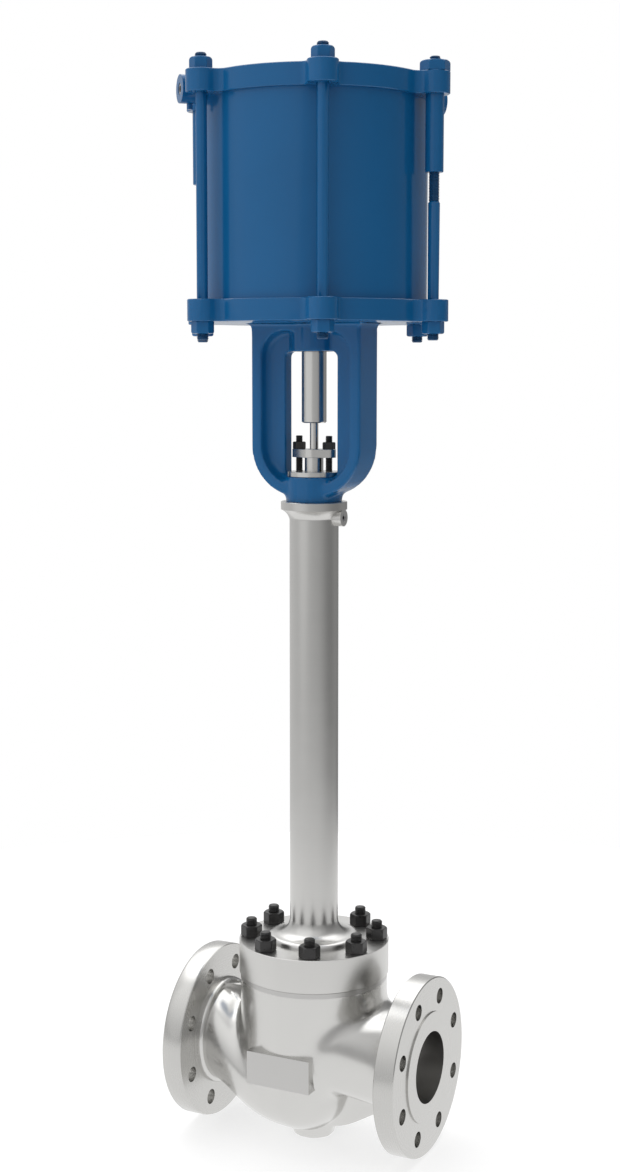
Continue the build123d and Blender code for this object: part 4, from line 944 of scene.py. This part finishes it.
head_shape = nut_points(
    head_flats, top_level, top_level + head_height, thread_radius, *head_turns, head_crown,
)
sleeve_angles = np.linspace(0, 2 * pi, sleeve_columns, endpoint=False)
sleeve_profile = np.array((
    (thread_radius, sleeve_low),
    (sleeve_radius - sleeve_chamfer, sleeve_low),
    (sleeve_radius - sleeve_chamfer / 3, sleeve_low + sleeve_chamfer / 4),
    (sleeve_radius, sleeve_low + sleeve_chamfer),
    (sleeve_radius, sleeve_top),
    (thread_radius, sleeve_top),
))
sleeve_shape = np.stack((
    sleeve_profile[:, :1] * np.cos(sleeve_angles),
    sleeve_profile[:, :1] * np.sin(sleeve_angles),
    np.repeat(sleeve_profile[:, 1:], sleeve_columns, axis=1),
), axis=-1)
fastened(
    "release_sleeve_heads", "release_sleeve_nuts",
    joined_shapes("release_sleeve_nuts", (head_shape, sleeve_shape), release_places),
    smooth_enamel,
)

# Stem and piston rod: polished steel, joined in the rod's end. The stem runs down the column
# to the plug, and the rod runs up through the cover's bushing to the piston.
polished_colour = (0.66, 0.655, 0.64)
rod_bevel = 0.0003
polished_steel = steel_finish(
    "polished_steel", polished_colour, 0.22, True, stem_x, "Z", fine_lines,
)
dressed("valve_stem", "polished_stem", "stem_assembly", polished_steel)
dressed(
    "piston_rod", "polished_piston_rod", "stem_assembly", polished_steel,
    rod_bevel,
)
coat(nodes["stem_pin"], polished_steel)

# Pieces inside the castings: turned stainless trim, graphite gaskets, fluoropolymer rings,
# bronze guides, rubber seals and an aluminium piston. Only the trim shows, down the bores.
trim_colour = (0.60, 0.59, 0.58)
graphite_colour = (0.045, 0.045, 0.05)
fluoropolymer_colour = (0.84, 0.84, 0.82)
bronze_colour = (0.60, 0.40, 0.18)
rubber_colour = (0.02, 0.02, 0.02)
aluminium_colour = (0.78, 0.78, 0.79)
trim_steel = steel_finish("turned_trim", trim_colour, 0.28, True, stem_x, "Z")


def plain_finish(name, colour, roughness, metallic, scale):
    """A simple solid material: its tint and gloss wander in patches, with a fine grain."""
    material, tree = paint(name)
    place = tree.node("ShaderNodeTexCoord", output="Object")
    patch = noise(tree, place, scale, 4.0, 0.55)
    base = tree.node("ShaderNodeVectorMath", {"operation": "SCALE"}, {
        0: colour, "Scale": 0.85 + patch * 0.3,
    })
    bump = tree.node("ShaderNodeBump", {}, {
        "Height": patch, "Strength": 0.3, "Distance": 0.0001,
    })
    shader = tree.node("ShaderNodeBsdfPrincipled", {}, {
        "Base Color": base, "Metallic": metallic, "Normal": bump,
        "Roughness": roughness - 0.08 + patch * 0.16,
    })
    tree.node("ShaderNodeOutputMaterial", {}, {"Surface": shader}, ())
    return material


graphite = plain_finish("graphite_sheet", graphite_colour, 0.45, 0.3, 400.0)
fluoropolymer = plain_finish("white_fluoropolymer", fluoropolymer_colour, 0.35, 0.0, 120.0)
bronze = plain_finish("turned_bronze", bronze_colour, 0.30, 1.0, 300.0)
rubber = plain_finish("black_rubber", rubber_colour, 0.5, 0.0, 500.0)
aluminium = plain_finish("turned_aluminium", aluminium_colour, 0.30, 1.0, 300.0)
for finish, inner_nodes in (
    (trim_steel, ("seat_ring", "cage", "plug", "lantern_ring", "seal_retainer")),
    (trim_steel, ("piston_nut", "spring_plate")),
    (graphite, ("seat_gasket", "bonnet_gasket")),
    (fluoropolymer, ("packing_rings", "plug_seal", "piston_wear_band")),
    (bronze, ("lower_guide_bushing", "upper_guide_bushing", "rod_bushing")),
    (rubber, ("rod_wiper", "rod_seal", "lower_cover_seal", "top_cover_seal", "piston_seal")),
    (aluminium, ("piston",)),
):
    for node in inner_nodes:
        coat(nodes[node], finish)

# Main spring: black wire coiled round the stem between the piston and the plate under the
# top cover, with ground ends. The real coil shortens towards the plate as the piston rises; this
# one is made at one length.
coil_radius = 0.095
wire_radius = 0.009
coil_turns = 5.0
spring_foot = 1.1335
spring_head = 1.3366
ground_depth = 0.002
coil_steps = 300
wire_columns = 20
spring_colour = (0.06, 0.06, 0.065)


def coiled_wire():
    """A tube round a helix about the stem. The wire's circle lies across the helix, and the
    ends are cut level by holding every point between the two ground faces."""
    share = np.linspace(0, 1, coil_steps)[:, None]
    turn = 2 * pi * coil_turns * share
    first = spring_foot + wire_radius - ground_depth
    last = spring_head - wire_radius + ground_depth
    slope = (last - first) / (2 * pi * coil_turns * coil_radius)
    around = np.linspace(0, 2 * pi, wire_columns, endpoint=False)[None, :]
    lean = sqrt(1 + slope * slope)
    reach = coil_radius + wire_radius * np.cos(around)
    aside = -wire_radius * np.sin(around) * slope / lean
    x = stem_x + reach * np.cos(turn) - aside * np.sin(turn)
    y = reach * np.sin(turn) + aside * np.cos(turn)
    z = first + (last - first) * share + wire_radius * np.sin(around) / lean
    return np.stack((x, y, np.clip(z, spring_foot, spring_head)), axis=-1)


spring_black = plain_finish("spring_coating", spring_colour, 0.42, 0.2, 200.0)
spring = fastened(
    "coil_spring", "main_spring", skin("coil_spring", coiled_wire()[:, ::-1]),
    spring_black, 50,
)
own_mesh(spring)
